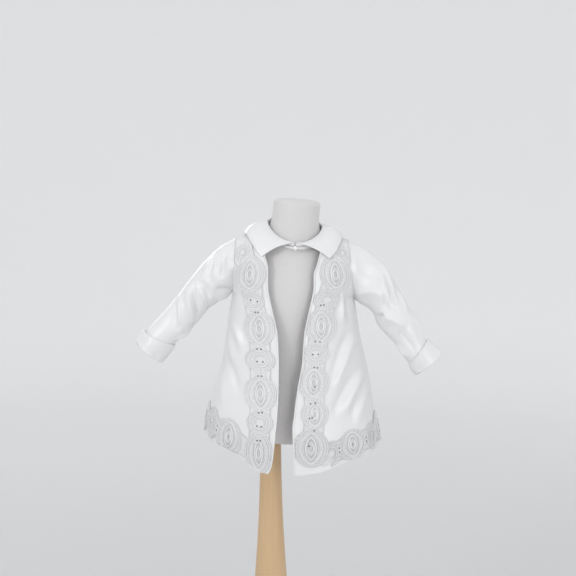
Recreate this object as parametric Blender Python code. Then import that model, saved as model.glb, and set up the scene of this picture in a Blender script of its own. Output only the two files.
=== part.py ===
"""Child's christening coat in white satin and medallion lace, on a limbless dress form and wooden stand.

Axes: +Z up, the coat's front faces -Y, the wearer's left is at +X.
Origin: centre of the underside of the stand's base.
All tables and sizes are in millimetres; shell() and lathe() turn them into metres.
"""
from collections import namedtuple
from math import acos, cos, exp, pi, radians, sin, sqrt

import bmesh
import bpy
import numpy as np

MM = 0.001

# Cloth
SATIN_WALL = 1.5
CUFF_WALL = 2.0
COLLAR_WALL = 1.6
LACE_WALL = 1.0
SEAM_HALF_GAP = 0.2
ARMHOLE_GAP = 1.0
BAND_GAP = 0.9
LACE_LIFT = 0.9

# Coat body: one row for each horizontal section. left and right are the side seams,
# front and back the depths on the centre lines.
Section = namedtuple("Section", "z left right front back")
SECTIONS = [
    Section(390, -117, 191, -100, 96),
    Section(452, -110, 181, -96, 89),
    Section(484, -105, 174, -92, 84),
    Section(520, -97, 168, -88, 79),
    Section(564, -83, 160, -83, 73),
    Section(610, -75, 149, -77, 67),
    Section(657, -69, 141, -71, 62),
    Section(685, -64, 137, -67, 59),
    Section(735, -60, 131, -62, 56),
    Section(800, -57, 127, -60, 54),
]

# Front edges: x of each front's free edge at a height.
Edge = namedtuple("Edge", "z right left")
FRONT_EDGES = [
    Edge(390, -14, 30),
    Edge(402, -5, 29),
    Edge(416, 2, 28),
    Edge(452, 7, 30),
    Edge(497, 12, 37),
    Edge(540, 14, 42),
    Edge(581, 14.5, 49.5),
    Edge(627, 12.5, 53),
    Edge(666, 4, 61),
    Edge(707, -3.5, 69),
    Edge(738, -3, 67.5),
    Edge(752, -9, 62),
    Edge(770, -10, 65),
    Edge(800, -6, 80),
]

# Hem height by share of the way across: 0 the wearer's right side seam, 1 the left one.
Hem = namedtuple("Hem", "across front back")
HEMS = [
    Hem(0.00, 452, 452),
    Hem(0.13, 446, 447),
    Hem(0.27, 434, 442),
    Hem(0.42, 404, 439),
    Hem(0.50, 400, 437),
    Hem(0.58, 404, 436),
    Hem(0.73, 423, 436),
    Hem(0.87, 431, 436),
    Hem(1.00, 437, 437),
]

# Armholes: seams between body and sleeve, from armpit to shoulder. spread is how much wider than
# the seams the body's section would be at the armhole's middle, which sets how deep the hole is.
Armhole = namedtuple("Armhole", "x_under x_mid x_top z_under z_mid z_top")
ARMHOLES = {
    "right": Armhole(-64, -60, -58, 688, 733, 777),
    "left": Armhole(137, 131, 127, 677, 727, 773),
}
ARMHOLE_SPREAD = 0.25
ARMHOLE_SPREAD_POWER = 1.2
SHOULDER_ROUND = 0.75

# Neckline: an oval ring, lower in front, tilted with the form.
NECK_X = 39.5
NECK_Z = 800.4
NECK_HALF_WIDTH = 44.6
NECK_HALF_DEPTH = 45.0
NECK_FRONT_DROP = 26.5
NECK_BACK_RISE = 8.0
NECK_SIDE_SLOPE = -0.092
NECK_DIP_POWER = 1.4
STAND_HEIGHT = 6.0
STAND_FLARE = 1.0
BAND_DEPTH = 5.0
BAND_FLARE = 4.5
NECK_SHARE = 0.285
FRONT_BAND_ANGLE = 62.0
FRONT_EDGE_SHARE = 0.335
CHEST_Z = 690.0

# Gentle flare waves round the skirt: count round the body, height at the hem, phase in degrees.
Wave = namedtuple("Wave", "count height phase")
WAVES = [
    Wave(5, 3.2, 35),
    Wave(9, 2.2, 110),
]
WAVE_TOP = 680.0
WAVE_REACH = 280.0
WAVE_GROWTH = 1.5

# Soft folds: a ridge (+) or trough (-) from one end to the other, its middle bowed aside.
# On the body x and z are those of the front or back view.
Fold = namedtuple("Fold", "x0 z0 x1 z1 bow width height")
FRONT_FOLDS = [
    Fold(130, 634, 98, 548, 3, 7, -3.2),
    Fold(141, 626, 104, 540, 3, 8, 3.4),
    Fold(146, 574, 99, 496, 2, 7, -2.8),
    Fold(153, 568, 117, 496, 0, 10, 3.4),
    Fold(157, 550, 130, 486, 5, 7, -2.8),
    Fold(166, 552, 138, 476, 3, 8, 2.6),
    Fold(114, 700, 118, 640, 0, 5, 2.4),
    Fold(124, 690, 129, 640, 0, 6, -2.4),
    Fold(-66, 644, -46, 596, -3, 6, 3.0),
    Fold(-72, 640, -60, 570, 0, 7, 2.4),
    Fold(-74, 592, -50, 528, 0, 7, -2.4),
    Fold(-86, 612, -92, 515, 0, 8, 2.2),
    Fold(-78, 570, -79, 500, 0, 8, 1.8),
]
BACK_FOLDS = [
    Fold(-50, 660, -78, 500, 0, 10, 2.8),
    Fold(-30, 640, -46, 480, 3, 9, -2.2),
    Fold(0, 560, -8, 450, 0, 12, 2.6),
    Fold(44, 600, 40, 470, -4, 10, -2.4),
    Fold(72, 570, 86, 448, 0, 12, 2.8),
    Fold(124, 660, 150, 510, 0, 10, 2.8),
    Fold(104, 640, 120, 500, 3, 9, -2.2),
]
FOLD_SEAM_FADE = 0.35

# Sleeves: one row for each ring, from its top point to its underside point in the front view,
# with the middle and half depth in y.
Ring = namedtuple("Ring", "x_top z_top x_under z_under y_mid half_depth")
SLEEVES = {
    "right": [
        Ring(-82, 763, -76, 680, -2, 35),
        Ring(-108, 739, -90, 669, -5, 31),
        Ring(-133, 709, -101, 662, -8, 28),
        Ring(-156, 679, -119, 641, -12, 26),
        Ring(-178, 654, -140, 620, -16, 24),
        Ring(-197, 633, -153, 609, -19, 23),
        Ring(-206, 621, -162, 601, -20, 22),
    ],
    "left": [
        Ring(149, 763, 146, 669, -2, 35),
        Ring(172, 748, 160, 661, -5, 31),
        Ring(191, 726, 170, 650, -8, 28),
        Ring(208, 698, 174, 637, -12, 26),
        Ring(225, 668, 186, 622, -16, 24),
        Ring(241, 638, 204, 604, -19, 23),
        Ring(253, 615, 218, 583, -20, 21),
        Ring(259, 605, 226, 573, -20, 20.5),
    ],
}

# Sleeve folds, from one end to the other: along the sleeve (0 armhole, 1 end) and turn round it
# (0 underside, 90 front, 180 top, 270 back).
Crease = namedtuple("Crease", "along0 turn0 along1 turn1 bow width height")
CREASES = {
    "right": [
        Crease(0.06, 130, 0.03, 70, 0, 6, 1.8),
        Crease(0.09, 130, 0.14, 80, 0, 5, -3.0),
        Crease(0.15, 135, 0.24, 92, 0, 6, 2.2),
        Crease(0.17, 152, 0.36, 116, 0, 5, 2.2),
        Crease(0.20, 130, 0.30, 106, 0, 4, -2.0),
        Crease(0.35, 118, 0.31, 58, 0, 5, -3.2),
        Crease(0.37, 108, 0.43, 20, 0, 5, 3.2),
        Crease(0.41, 132, 0.60, 32, 0, 5, -4.0),
        Crease(0.45, 148, 0.67, 32, 0, 8, 4.0),
        Crease(0.59, 168, 0.80, 58, 0, 6, -2.4),
        Crease(0.53, 158, 0.76, 70, -2, 6, 2.0),
        Crease(0.25, 70, 0.01, 30, 0, 5, -3.0),
        Crease(0.26, 34, 0.02, 4, 0, 6, 2.6),
        Crease(0.93, 38, 0.69, 4, 0, 5, 2.4),
        Crease(0.18, 215, 0.36, 300, 0, 8, 2.8),
        Crease(0.30, 225, 0.44, 330, 0, 5, -2.8),
        Crease(0.36, 205, 0.53, 320, 0, 7, 3.2),
        Crease(0.50, 215, 0.66, 325, 0, 7, 2.8),
        Crease(0.68, 210, 0.80, 300, 0, 7, 2.2),
    ],
    "left": [
        Crease(0.26, 164, 0.54, 114, 0, 5, 3.0),
        Crease(0.32, 142, 0.56, 103, 0, 5, -3.4),
        Crease(0.48, 156, 0.66, 142, 0, 4, 1.8),
        Crease(0.04, 42, 0.38, 88, -3, 6, 2.6),
        Crease(0.06, 98, 0.32, 112, 0, 16, -2.6),
        Crease(0.38, 78, 0.57, 100, 0, 9, -3.6),
        Crease(0.37, 18, 0.50, 74, 0, 4, -3.4),
        Crease(0.44, 58, 0.74, 102, 0, 8, 3.4),
        Crease(0.70, 74, 0.97, 86, 0, 12, -2.4),
        Crease(0.78, 18, 0.96, 40, 0, 6, 2.4),
        Crease(0.68, 162, 0.96, 158, 0, 5, 2.0),
        Crease(0.18, 300, 0.34, 215, 0, 8, 2.6),
        Crease(0.30, 330, 0.46, 225, 0, 5, -2.8),
        Crease(0.40, 325, 0.56, 215, 0, 7, 3.2),
        Crease(0.56, 320, 0.70, 220, 0, 7, 2.6),
        Crease(0.74, 310, 0.84, 215, 0, 7, 2.0),
    ],
}
SLEEVE_LENGTH = 177.0
SLEEVE_MM_PER_DEGREE = 0.5

# Cuffs: turned back over the sleeve's end, from the free upper edge to the fold at the mouth.
CUFFS = {
    "right": [
        Ring(-210, 627, -157, 602, -20, 27),
        Ring(-216, 618, -166, 588, -21, 27),
        Ring(-222, 608, -178, 573, -22, 27),
    ],
    "left": [
        Ring(258, 613, 226, 572, -20, 25.5),
        Ring(270, 603, 230, 562, -21, 27),
        Ring(282, 592, 237, 553, -22, 28.5),
    ],
}

# Collar: one row for each rib of a half, from the neck ring out to the free edge. angle is the place
# on the ring (0 centre front, 180 centre back); side_x is the free edge's distance from the neck's
# middle; over is how far over the shoulder it lies (0 front level, 90 shoulder seam, 180 back level).
Rib = namedtuple("Rib", "angle side_x over")
COLLAR = {
    "right": [
        Rib(1.5, 51, 17),
        Rib(22, 58, 25),
        Rib(45, 68, 44),
        Rib(90, 79, 90),
        Rib(122, 72, 134),
        Rib(150, 46, 150),
        Rib(180, 0, 153),
    ],
    "left": [
        Rib(1.5, 52.5, 19),
        Rib(22, 60, 28),
        Rib(45, 68, 46),
        Rib(90, 76, 90),
        Rib(122, 70, 134),
        Rib(150, 46, 150),
        Rib(180, 0, 153),
    ],
}
COLLAR_BULGE = 5.2
COLLAR_BACK_BULGE = 6.8
COLLAR_LIFT = 5.2
COLLAR_CROWN_RISE = 0.6
COLLAR_CROWN_OUT = 2.0

# Front lace: one row for each medallion, top to bottom.
Medallion = namedtuple("Medallion", "x z half_width half_height")
FRONT_LACE = {
    "right": [
        Medallion(-45, 767, 12, 15),
        Medallion(-33, 727, 25, 30),
        Medallion(-27, 681, 17, 17),
        Medallion(-18, 637, 25, 29),
        Medallion(-16.5, 586, 24, 19),
        Medallion(-16, 532, 26, 29),
        Medallion(-17, 485, 21, 19),
        Medallion(-19, 436, 22, 35),
    ],
    "left": [
        Medallion(116, 766, 11, 13),
        Medallion(104, 729, 25, 29),
        Medallion(91, 684, 22, 17),
        Medallion(81, 641, 25, 29),
        Medallion(73.5, 597, 21, 18),
        Medallion(69, 550, 25, 27),
        Medallion(71, 499, 22, 23),
        Medallion(65, 444, 29, 31),
    ],
}
FRONT_LACE_LEVELS = (2.95, 2.88, 2.8, 2.7, 2.6, 2.5, 2.4, 2.3, 2.2, 2.1)
LACE_NECK = 9.0
LACE_EDGE_BORDER = 3.0

# Hem lace: one row for each medallion. run is the distance of its centre from the side seam along
# the hem, up its height over the hem.
HemMedallion = namedtuple("HemMedallion", "run up half_length half_height")
HEM_LACE = {
    "right": [
        HemMedallion(-10, 29, 28, 28),
        HemMedallion(35, 28, 18, 26),
        HemMedallion(78, 21, 28, 29),
    ],
    "left": [
        HemMedallion(2, 27, 27, 25),
        HemMedallion(49, 26, 18, 21),
        HemMedallion(94, 25, 28, 24),
        HemMedallion(133, 25, 14, 20),
    ],
}
HEM_LACE_END = {"right": 114.0, "left": 137.0}
HEM_LACE_NECK = 14.0
BACK_LACE_PITCH = 48.0
BACK_LACE_BIG = (28, 27)
BACK_LACE_SMALL = (19, 21)
BACK_LACE_UP = 25.0
BACK_LACE_COUNT = 9

# Pearl button on the band at centre front
BUTTON_RADIUS = 3.6
BUTTON_THICKNESS = 3.0
BUTTON_GAP = 2.9
BUTTON_SIDES = 16
BUTTON_PROFILE = [(0.0, 0.9), (0.45, 1.0), (0.8, 0.8), (1.0, 0.35)]

# Dress form: height up its own axis at the sides, half width and half depth; front_drop is how much
# lower the ring is at the front, so that the neck's root follows the neckline.
FORM_X = 8.0
FORM_Z = 438.0
FORM_LEAN = 5.0
FormRing = namedtuple("FormRing", "height half_width half_depth front_drop")
FORM = [
    FormRing(0, 34, 28, 0),
    FormRing(3, 56, 44, 0),
    FormRing(14, 70, 53, 0),
    FormRing(26, 74, 55, 0),
    FormRing(40, 76, 56, 0),
    FormRing(64, 76, 56, 0),
    FormRing(90, 74, 55, 0),
    FormRing(120, 71, 53, 0),
    FormRing(150, 70, 53, 0),
    FormRing(178, 72, 53, 0),
    FormRing(205, 76, 54, 0),
    FormRing(228, 79, 54, 1),
    FormRing(250, 82, 53, 2),
    FormRing(272, 84, 52, 4),
    FormRing(290, 84, 50, 8),
    FormRing(303, 83.5, 48.5, 12),
    FormRing(312, 82, 47, 15),
    FormRing(328, 76, 45, 20),
    FormRing(338, 66, 43, 23),
    FormRing(346, 54, 41, 24),
    FormRing(354, 43.5, 39.5, 24),
    FormRing(362, 40, 38, 22),
    FormRing(380, 38.5, 37.5, 10),
    FormRing(396, 38.5, 37.5, 0),
    FormRing(401, 36.5, 35.5, 0),
    FormRing(403, 30, 29, 0),
]

# Stand: turned post and round base.
Turn = namedtuple("Turn", "z radius")
POST_X = -1.0
POST = [
    Turn(22.3, 39),
    Turn(40, 37.5),
    Turn(110, 33),
    Turn(200, 27),
    Turn(260, 23),
    Turn(312, 20.3),
    Turn(380, 18.2),
    Turn(434, 17.5),
]
BASE = [
    Turn(0, 122),
    Turn(3, 125),
    Turn(14, 125),
    Turn(20, 119),
    Turn(22, 112),
]

# Mesh steps. Lace rows and columns stand at these turns round each medallion, no closer than the gap.
BODY_ROWS = {"skirt": 14, "armhole": 4, "shoulder": 5}
FRONT_COLUMNS = 14
BACK_COLUMNS = 20
SLEEVE_SIDES = 24
SLEEVE_STEPS = 26
CUFF_STEPS = 4
COLLAR_STEPS = 15
COLLAR_FALL_STEPS = 5
BAND_SIDES = 40
FRONT_LACE_COLUMNS = 4
FRONT_LACE_TURNS = (75, 52, 30, 8, -14, -36, -58)
FRONT_LACE_ROW_GAP = 3.5
HEM_LACE_ROWS = 3
HEM_LACE_TURNS = (-70, -42, -14, 14, 42, 70)
HEM_LACE_COLUMN_GAP = 4.0
LACE_END_TURN = 78
FORM_SIDES = 24
TURN_SIDES = 32
SEARCH_STEPS = 60
SHARP_ANGLE = 50

SATIN = ("white_satin", (0.86, 0.87, 0.88), 0.42)
LACE = ("silver_white_lace", (0.74, 0.75, 0.76), 0.75)
PEARL = ("pearl", (0.85, 0.84, 0.82), 0.25)
LINEN = ("form_linen", (0.70, 0.69, 0.67), 0.9)
BIRCH = ("birch", (0.72, 0.52, 0.33), 0.5)


def clear_scene():
    for item in list(bpy.data.objects):
        bpy.data.objects.remove(item, do_unlink=True)


def material(finish):
    name, colour, roughness = finish
    found = bpy.data.materials.get(name)
    if found:
        return found
    made = bpy.data.materials.new(name)
    made.use_nodes = True
    shader = made.node_tree.nodes["Principled BSDF"]
    shader.inputs["Base Color"].default_value = (*colour, 1.0)
    shader.inputs["Roughness"].default_value = roughness
    shader.inputs["Metallic"].default_value = 0.0
    return made


def smooth(rows, key, column, at):
    """A column of a table at any height, on a smooth curve through its rows."""
    keys = [getattr(row, key) for row in rows]
    values = [getattr(row, column) for row in rows]
    return curve(keys, values, at)


def curve(keys, values, at):
    """Cubic Hermite curve through points, with slopes that never overshoot."""
    at = min(max(at, keys[0]), keys[-1])
    last = len(keys) - 2
    k = min(max(int(np.searchsorted(keys, at)) - 1, 0), last)
    rise = [(values[i + 1] - values[i]) / (keys[i + 1] - keys[i]) for i in range(last + 1)]

    def slope(i):
        if i == 0 or i > last:
            return rise[min(i, last)]
        if rise[i - 1] * rise[i] <= 0:
            return 0.0
        return 2 * rise[i - 1] * rise[i] / (rise[i - 1] + rise[i])

    step = keys[k + 1] - keys[k]
    t = (at - keys[k]) / step
    start, end = slope(k) * step, slope(k + 1) * step
    bend = 2 * t ** 3 - 3 * t ** 2
    return ((1 + bend) * values[k] - bend * values[k + 1]
            + (t ** 3 - 2 * t ** 2 + t) * start + (t ** 3 - t ** 2) * end)


def mix(a, b, share):
    return a + (b - a) * share


# ---- neckline and shoulders ----

def neck_ring(angle, down=0.0, out=0.0):
    """Point on the neckline; angle 0 is centre front, 90 the wearer's right, 180 centre back."""
    front = cos(radians(angle))
    x = NECK_X - (NECK_HALF_WIDTH + out) * sin(radians(angle))
    y = -(NECK_HALF_DEPTH + out) * front
    dip = NECK_FRONT_DROP if front > 0 else -NECK_BACK_RISE
    z = NECK_Z + NECK_SIDE_SLOPE * (x - NECK_X) - dip * abs(front) ** NECK_DIP_POWER - down
    return np.array((x, y, z))


def band_edge(angle):
    """Line just below the neck band, where the panels end."""
    return neck_ring(angle, STAND_HEIGHT + BAND_DEPTH + BAND_GAP, BAND_FLARE + BAND_GAP / 2)


def armhole_point(side, angle):
    """Armhole seam; angle 0 is the armpit, 90 the front, 180 the shoulder, 270 the back."""
    across = 0.0 if side == "right" else 1.0
    if angle <= 180:
        return level_point(-1, across, 1 + angle / 90)
    return level_point(1, across, 1 + (360 - angle) / 90)


def top_edge(face, across):
    """Where a panel ends: along the shoulder seam, then along the neck band."""
    if across > 0.5:
        side, share = "left", 1 - across
    else:
        side, share = "right", across
    tip = ARMHOLES[side]
    tip = np.array((tip.x_top, 0.0, tip.z_top))
    turn = 90.0 if side == "right" else 270.0
    neck = band_edge(turn)
    if share <= NECK_SHARE:
        return mix(tip, neck, share / NECK_SHARE)
    if face < 0:
        swing = (90 - FRONT_BAND_ANGLE) * (share - NECK_SHARE) / (FRONT_EDGE_SHARE - NECK_SHARE)
        angle = 90 - swing
    else:
        angle = 90 + 90 * (share - NECK_SHARE) / (0.5 - NECK_SHARE)
    return band_edge(angle if side == "right" else 360 - angle)


def side_shares(side, reach):
    """Shares of the way across, from a side seam inwards."""
    shares = np.linspace(0.0, reach, SEARCH_STEPS)
    return shares if side == "right" else 1 - shares


def pick_x(points, x):
    """Point at an x on the line through a row of points."""
    points = np.array(points)
    points = points[np.argsort(points[:, 0])]
    return np.array([np.interp(x, points[:, 0], points[:, k]) for k in range(3)])


# ---- coat body ----

def section_point(face, across, z, rise=0.0):
    """Point of the body at a height; rise is how far up the armhole's lower half the height is."""
    depth = abs(smooth(SECTIONS, "z", "front" if face < 0 else "back", z))
    middle = (smooth(SECTIONS, "z", "left", z) + smooth(SECTIONS, "z", "right", z)) / 2
    starts, reaches = {}, {}
    for side, column in (("right", "left"), ("left", "right")):
        hole = ARMHOLES[side]
        edge = mix(hole.x_under, hole.x_mid, rise) if rise > 0 else smooth(SECTIONS, "z", column, z)
        spread = 1 + ARMHOLE_SPREAD * rise ** ARMHOLE_SPREAD_POWER
        starts[side] = acos(1 / spread)
        reaches[side] = abs(middle - edge) * spread
    turn = mix(starts["right"], pi - starts["left"], across)
    reach = reaches["right" if turn < pi / 2 else "left"]
    x = middle - reach * cos(turn)
    y = face * depth * sin(turn)
    outward = np.array(((x - middle) / reach ** 2, y / depth ** 2, 0.0))
    outward /= np.linalg.norm(outward)
    fade = min(1.0, (sin(turn) / FOLD_SEAM_FADE) ** 2)
    raised = skirt_wave(face, turn, z) + fade * fold_height(FRONT_FOLDS if face < 0 else BACK_FOLDS, x, z)
    return np.array((x, y, z)) + outward * raised


def height_point(face, across, z):
    """Point of the body at a height anywhere below the armholes' middle."""
    under = mix(ARMHOLES["right"].z_under, ARMHOLES["left"].z_under, across)
    mid = mix(ARMHOLES["right"].z_mid, ARMHOLES["left"].z_mid, across)
    return section_point(face, across, z, max(0.0, (z - under) / (mid - under)))


def skirt_wave(face, turn, z):
    """Height of the flare waves, growing towards the hem."""
    grow = max(0.0, (WAVE_TOP - z) / WAVE_REACH) ** WAVE_GROWTH
    round_body = turn if face < 0 else 2 * pi - turn
    return grow * sum(w.height * cos(w.count * round_body + radians(w.phase)) for w in WAVES)


def fold_height(folds, x, z):
    """Sum of soft folds at a point."""
    total = 0.0
    for fold in folds:
        along = np.array((fold.x1 - fold.x0, fold.z1 - fold.z0), float)
        length = np.linalg.norm(along)
        along /= length
        offset = np.array((x - fold.x0, z - fold.z0))
        run = float(offset @ along) / length
        if not 0 < run < 1:
            continue
        fade = 4 * run * (1 - run)
        away = float(offset[0] * along[1] - offset[1] * along[0]) - fold.bow * fade
        total += fold.height * fade * exp(-(away / fold.width) ** 2)
    return total


def level_point(face, across, level):
    """Body point by level: 0 hem, 1 armpit, 2 middle of the armhole, 3 shoulder and neck band."""
    under = mix(ARMHOLES["right"].z_under, ARMHOLES["left"].z_under, across)
    mid = mix(ARMHOLES["right"].z_mid, ARMHOLES["left"].z_mid, across)
    if level <= 1:
        hem = smooth(HEMS, "across", "front" if face < 0 else "back", across)
        return section_point(face, across, mix(hem, under, level))
    if level <= 2:
        turn = radians(90 * (level - 1))
        return height_point(face, across, mid - (mid - under) * cos(turn))
    turn = radians(90 * (level - 2))
    base = section_point(face, across, mid, 1.0)
    top = top_edge(face, across)
    x = mix(base[0], top[0], sin(turn))
    y = mix(top[1], base[1], cos(turn) ** SHOULDER_ROUND)
    z = mix(base[2], top[2], sin(turn))
    return np.array((x, y, z))


def edge_share(side, level):
    """Share of the way across at which a front's free edge lies on a row."""
    inner = FRONT_EDGE_SHARE if side == "right" else 1 - FRONT_EDGE_SHARE
    if level >= 3:
        return inner
    start = 0.0 if side == "right" else 1.0
    shares = np.linspace(start, inner if level > 2 else 0.5, SEARCH_STEPS)
    points = [level_point(-1, share, level) for share in shares]
    gaps = [point[0] - smooth(FRONT_EDGES, "z", side, point[2]) for point in points]
    if side == "left":
        gaps = [-gap for gap in gaps]
    return float(np.interp(0.0, gaps, shares))


def body_levels():
    """Rows of the panels, closer together round the armholes and over the shoulders."""
    skirt = np.linspace(0, 1, BODY_ROWS["skirt"] + 1)
    armhole = np.linspace(1, 2, BODY_ROWS["armhole"] + 1)[1:]
    shoulder = np.linspace(2, 3, BODY_ROWS["shoulder"] + 1)[1:]
    return [*skirt, *armhole, *shoulder]


def front_panel(side):
    rows = []
    for level in body_levels():
        edge = edge_share(side, level)
        start = 0.0 if side == "right" else 1.0
        shares = [mix(start, edge, i / FRONT_COLUMNS) for i in range(FRONT_COLUMNS + 1)]
        rows.append([level_point(-1, share, level) for share in shares])
    return shell("coat_front_" + side, rows, SATIN_WALL, SATIN, face=-1)


def back_panel():
    rows = []
    for level in body_levels():
        shares = [i / BACK_COLUMNS for i in range(BACK_COLUMNS + 1)]
        rows.append([level_point(1, share, level) for share in shares])
    return shell("coat_back", rows, SATIN_WALL, SATIN, face=1)


# ---- sleeves and cuffs ----

def ring_point(ring, angle):
    """Point of a sleeve or cuff ring; angle as in armhole_point."""
    share = (1 - cos(radians(angle))) / 2
    x = mix(ring.x_under, ring.x_top, share)
    z = mix(ring.z_under, ring.z_top, share)
    return np.array((x, ring.y_mid - ring.half_depth * sin(radians(angle)), z))


def tube_grid(stations, steps, sides):
    """Rings on smooth curves through the stations, evenly spaced along the tube."""
    middles = np.array([np.mean(station, axis=0) for station in stations])
    lengths = np.concatenate(([0], np.cumsum(np.linalg.norm(np.diff(middles, axis=0), axis=1))))
    rows = []
    for step in range(steps + 1):
        at = lengths[-1] * step / steps
        row = []
        for i in range(sides):
            row.append([curve(lengths, [station[i][k] for station in stations], at) for k in range(3)])
        rows.append(row)
    return np.array(rows)


def crease_grid(grid, side):
    """Raise the sleeve's folds on a grid of rings."""
    normals = grid_normals(grid, True)
    steps, sides = grid.shape[0] - 1, grid.shape[1]
    folds = [Fold(c.along0 * SLEEVE_LENGTH, c.turn0 * SLEEVE_MM_PER_DEGREE, c.along1 * SLEEVE_LENGTH,
                  c.turn1 * SLEEVE_MM_PER_DEGREE, c.bow, c.width, c.height) for c in CREASES[side]]
    for j in range(steps + 1):
        for i in range(sides):
            turn = 360 * i / sides * SLEEVE_MM_PER_DEGREE
            grid[j, i] += normals[j, i] * fold_height(folds, j / steps * SLEEVE_LENGTH, turn)
    return grid


def sleeve(side):
    angles = [360 * i / SLEEVE_SIDES for i in range(SLEEVE_SIDES)]
    outward = -1 if side == "right" else 1
    seam = [armhole_point(side, angle) + (outward * ARMHOLE_GAP, 0, 0) for angle in angles]
    stations = [seam] + [[ring_point(ring, angle) for angle in angles] for ring in SLEEVES[side]]
    grid = crease_grid(tube_grid(stations, SLEEVE_STEPS, SLEEVE_SIDES), side)
    return shell("sleeve_" + side, grid, SATIN_WALL, SATIN, closed=True)


def cuff(side):
    angles = [360 * i / SLEEVE_SIDES for i in range(SLEEVE_SIDES)]
    stations = [[ring_point(ring, angle) for angle in angles] for ring in CUFFS[side]]
    grid = tube_grid(stations, CUFF_STEPS, SLEEVE_SIDES)
    return shell("cuff_" + side, grid, CUFF_WALL, SATIN, closed=True)


# ---- neck band, collar and button ----

def neck_band():
    """Narrow band under the collar's stand, from its lower edge up to the stand."""
    rows = []
    for share in (1.0, 0.0):
        down = mix(STAND_HEIGHT + BAND_GAP / 2, STAND_HEIGHT + BAND_DEPTH, share)
        out = mix(STAND_FLARE, BAND_FLARE, share)
        rows.append([neck_ring(360 * i / BAND_SIDES, down, out) for i in range(BAND_SIDES)])
    return shell("neck_band", rows, SATIN_WALL, SATIN, closed=True)


def yoke_point(side, side_x, over):
    """Point on the shoulder or upper back above or below the seam, by its distance from the middle."""
    face = -1 if over <= 90 else 1
    rise = over if over <= 90 else 180 - over
    level = 2 + rise / 90
    target = NECK_X - side_x if side == "right" else NECK_X + side_x
    reach = FRONT_EDGE_SHARE if face < 0 else 1.0
    return pick_x([level_point(face, share, level) for share in side_shares(side, reach)], target)


def collar_rib(side, s):
    """A rib of the collar: down the stand's inside, over the fold and out to the free edge."""
    ribs = COLLAR[side]
    angle = smooth_rib(ribs, "angle", s)
    edge = yoke_point(side, smooth_rib(ribs, "side_x", s), smooth_rib(ribs, "over", s))
    turn = angle if side == "right" else 360 - angle
    foot = neck_ring(turn, STAND_HEIGHT - BAND_GAP / 2)
    fold = neck_ring(turn)
    crown = neck_ring(turn, -COLLAR_CROWN_RISE, COLLAR_CROWN_OUT)
    chest = np.array((NECK_X, 0.0, CHEST_Z))
    edge = edge + (edge - chest) / np.linalg.norm(edge - chest) * COLLAR_LIFT
    bulge = mix(COLLAR_BULGE, COLLAR_BACK_BULGE, angle / 180)
    points = [foot, fold, crown]
    for step in range(1, COLLAR_FALL_STEPS + 1):
        share = step / COLLAR_FALL_STEPS
        point = mix(crown, edge, share)
        up = (point - chest) / np.linalg.norm(point - chest)
        points.append(point + up * bulge * sin(pi * share))
    return points


def smooth_rib(ribs, column, s):
    return curve(list(range(len(ribs))), [getattr(rib, column) for rib in ribs], s * (len(ribs) - 1))


def collar():
    right = [collar_rib("right", i / COLLAR_STEPS) for i in range(COLLAR_STEPS + 1)]
    left = [collar_rib("left", i / COLLAR_STEPS) for i in range(COLLAR_STEPS)]
    grid = np.array(right + left[::-1])
    return shell("collar", grid, COLLAR_WALL, SATIN)


def button():
    """Domed button standing on the band at centre front, its axis along -Y."""
    seat = neck_ring(0, STAND_HEIGHT + BAND_DEPTH / 2, BAND_FLARE / 2)
    mesh = bmesh.new()
    rings = []
    for rise, width in BUTTON_PROFILE:
        radius = BUTTON_RADIUS * width
        y = seat[1] - BUTTON_GAP - BUTTON_THICKNESS * rise
        rings.append([mesh.verts.new((MM * (seat[0] + radius * cos(2 * pi * i / BUTTON_SIDES)), MM * y,
                                      MM * (seat[2] + radius * sin(2 * pi * i / BUTTON_SIDES))))
                      for i in range(BUTTON_SIDES)])
    return place("neck_button", skin_rings(mesh, rings), PEARL)


# ---- lace ----

def front_skin(side, x, z):
    """Point of a front's outer face at a place in the front view, below the armhole's middle."""
    return pick_x([height_point(-1, share, z) for share in side_shares(side, 0.5)], x)


def shoulder_skin(side, x, level):
    """Point of a front's outer face at a place in the front view, above the armhole's middle."""
    return pick_x([level_point(-1, share, level) for share in side_shares(side, FRONT_EDGE_SHARE)], x)


def lace_span(side, z):
    """Left and right limits of the front lace at a height: the medallions' outline."""
    rows = FRONT_LACE[side]
    spans = []
    if z > rows[-1].z:
        middle = curve([row.z for row in rows[::-1]], [row.x for row in rows[::-1]], z)
        spans.append((middle - LACE_NECK, middle + LACE_NECK))
    for row in rows:
        lift = (z - row.z) / row.half_height
        if abs(lift) < 1:
            half = row.half_width * sqrt(1 - lift ** 2)
            spans.append((row.x - half, row.x + half))
    low = min(span[0] for span in spans)
    high = max(span[1] for span in spans)
    edge = smooth(FRONT_EDGES, "z", side, z)
    hole = ARMHOLES[side]
    if side == "right":
        high = min(high, edge - LACE_EDGE_BORDER)
        low = max(low, hole.x_mid + 1.0) if z > hole.z_under else low
    else:
        low = max(low, edge + LACE_EDGE_BORDER)
        high = min(high, hole.x_mid - 1.0) if z > hole.z_under else high
    return low, high


def lace_heights(side):
    """Rows of the front lace below the armhole's middle, closer together near each medallion's ends."""
    heights = [ARMHOLES[side].z_mid]
    last = FRONT_LACE[side][-1]
    for row in FRONT_LACE[side]:
        heights += [row.z + row.half_height * sin(radians(turn)) for turn in FRONT_LACE_TURNS]
    heights.append(last.z - last.half_height * sin(radians(LACE_END_TURN)))
    kept = [heights[0]]
    for height in sorted(heights, reverse=True):
        if kept[-1] - height > FRONT_LACE_ROW_GAP:
            kept.append(height)
    return kept


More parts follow.
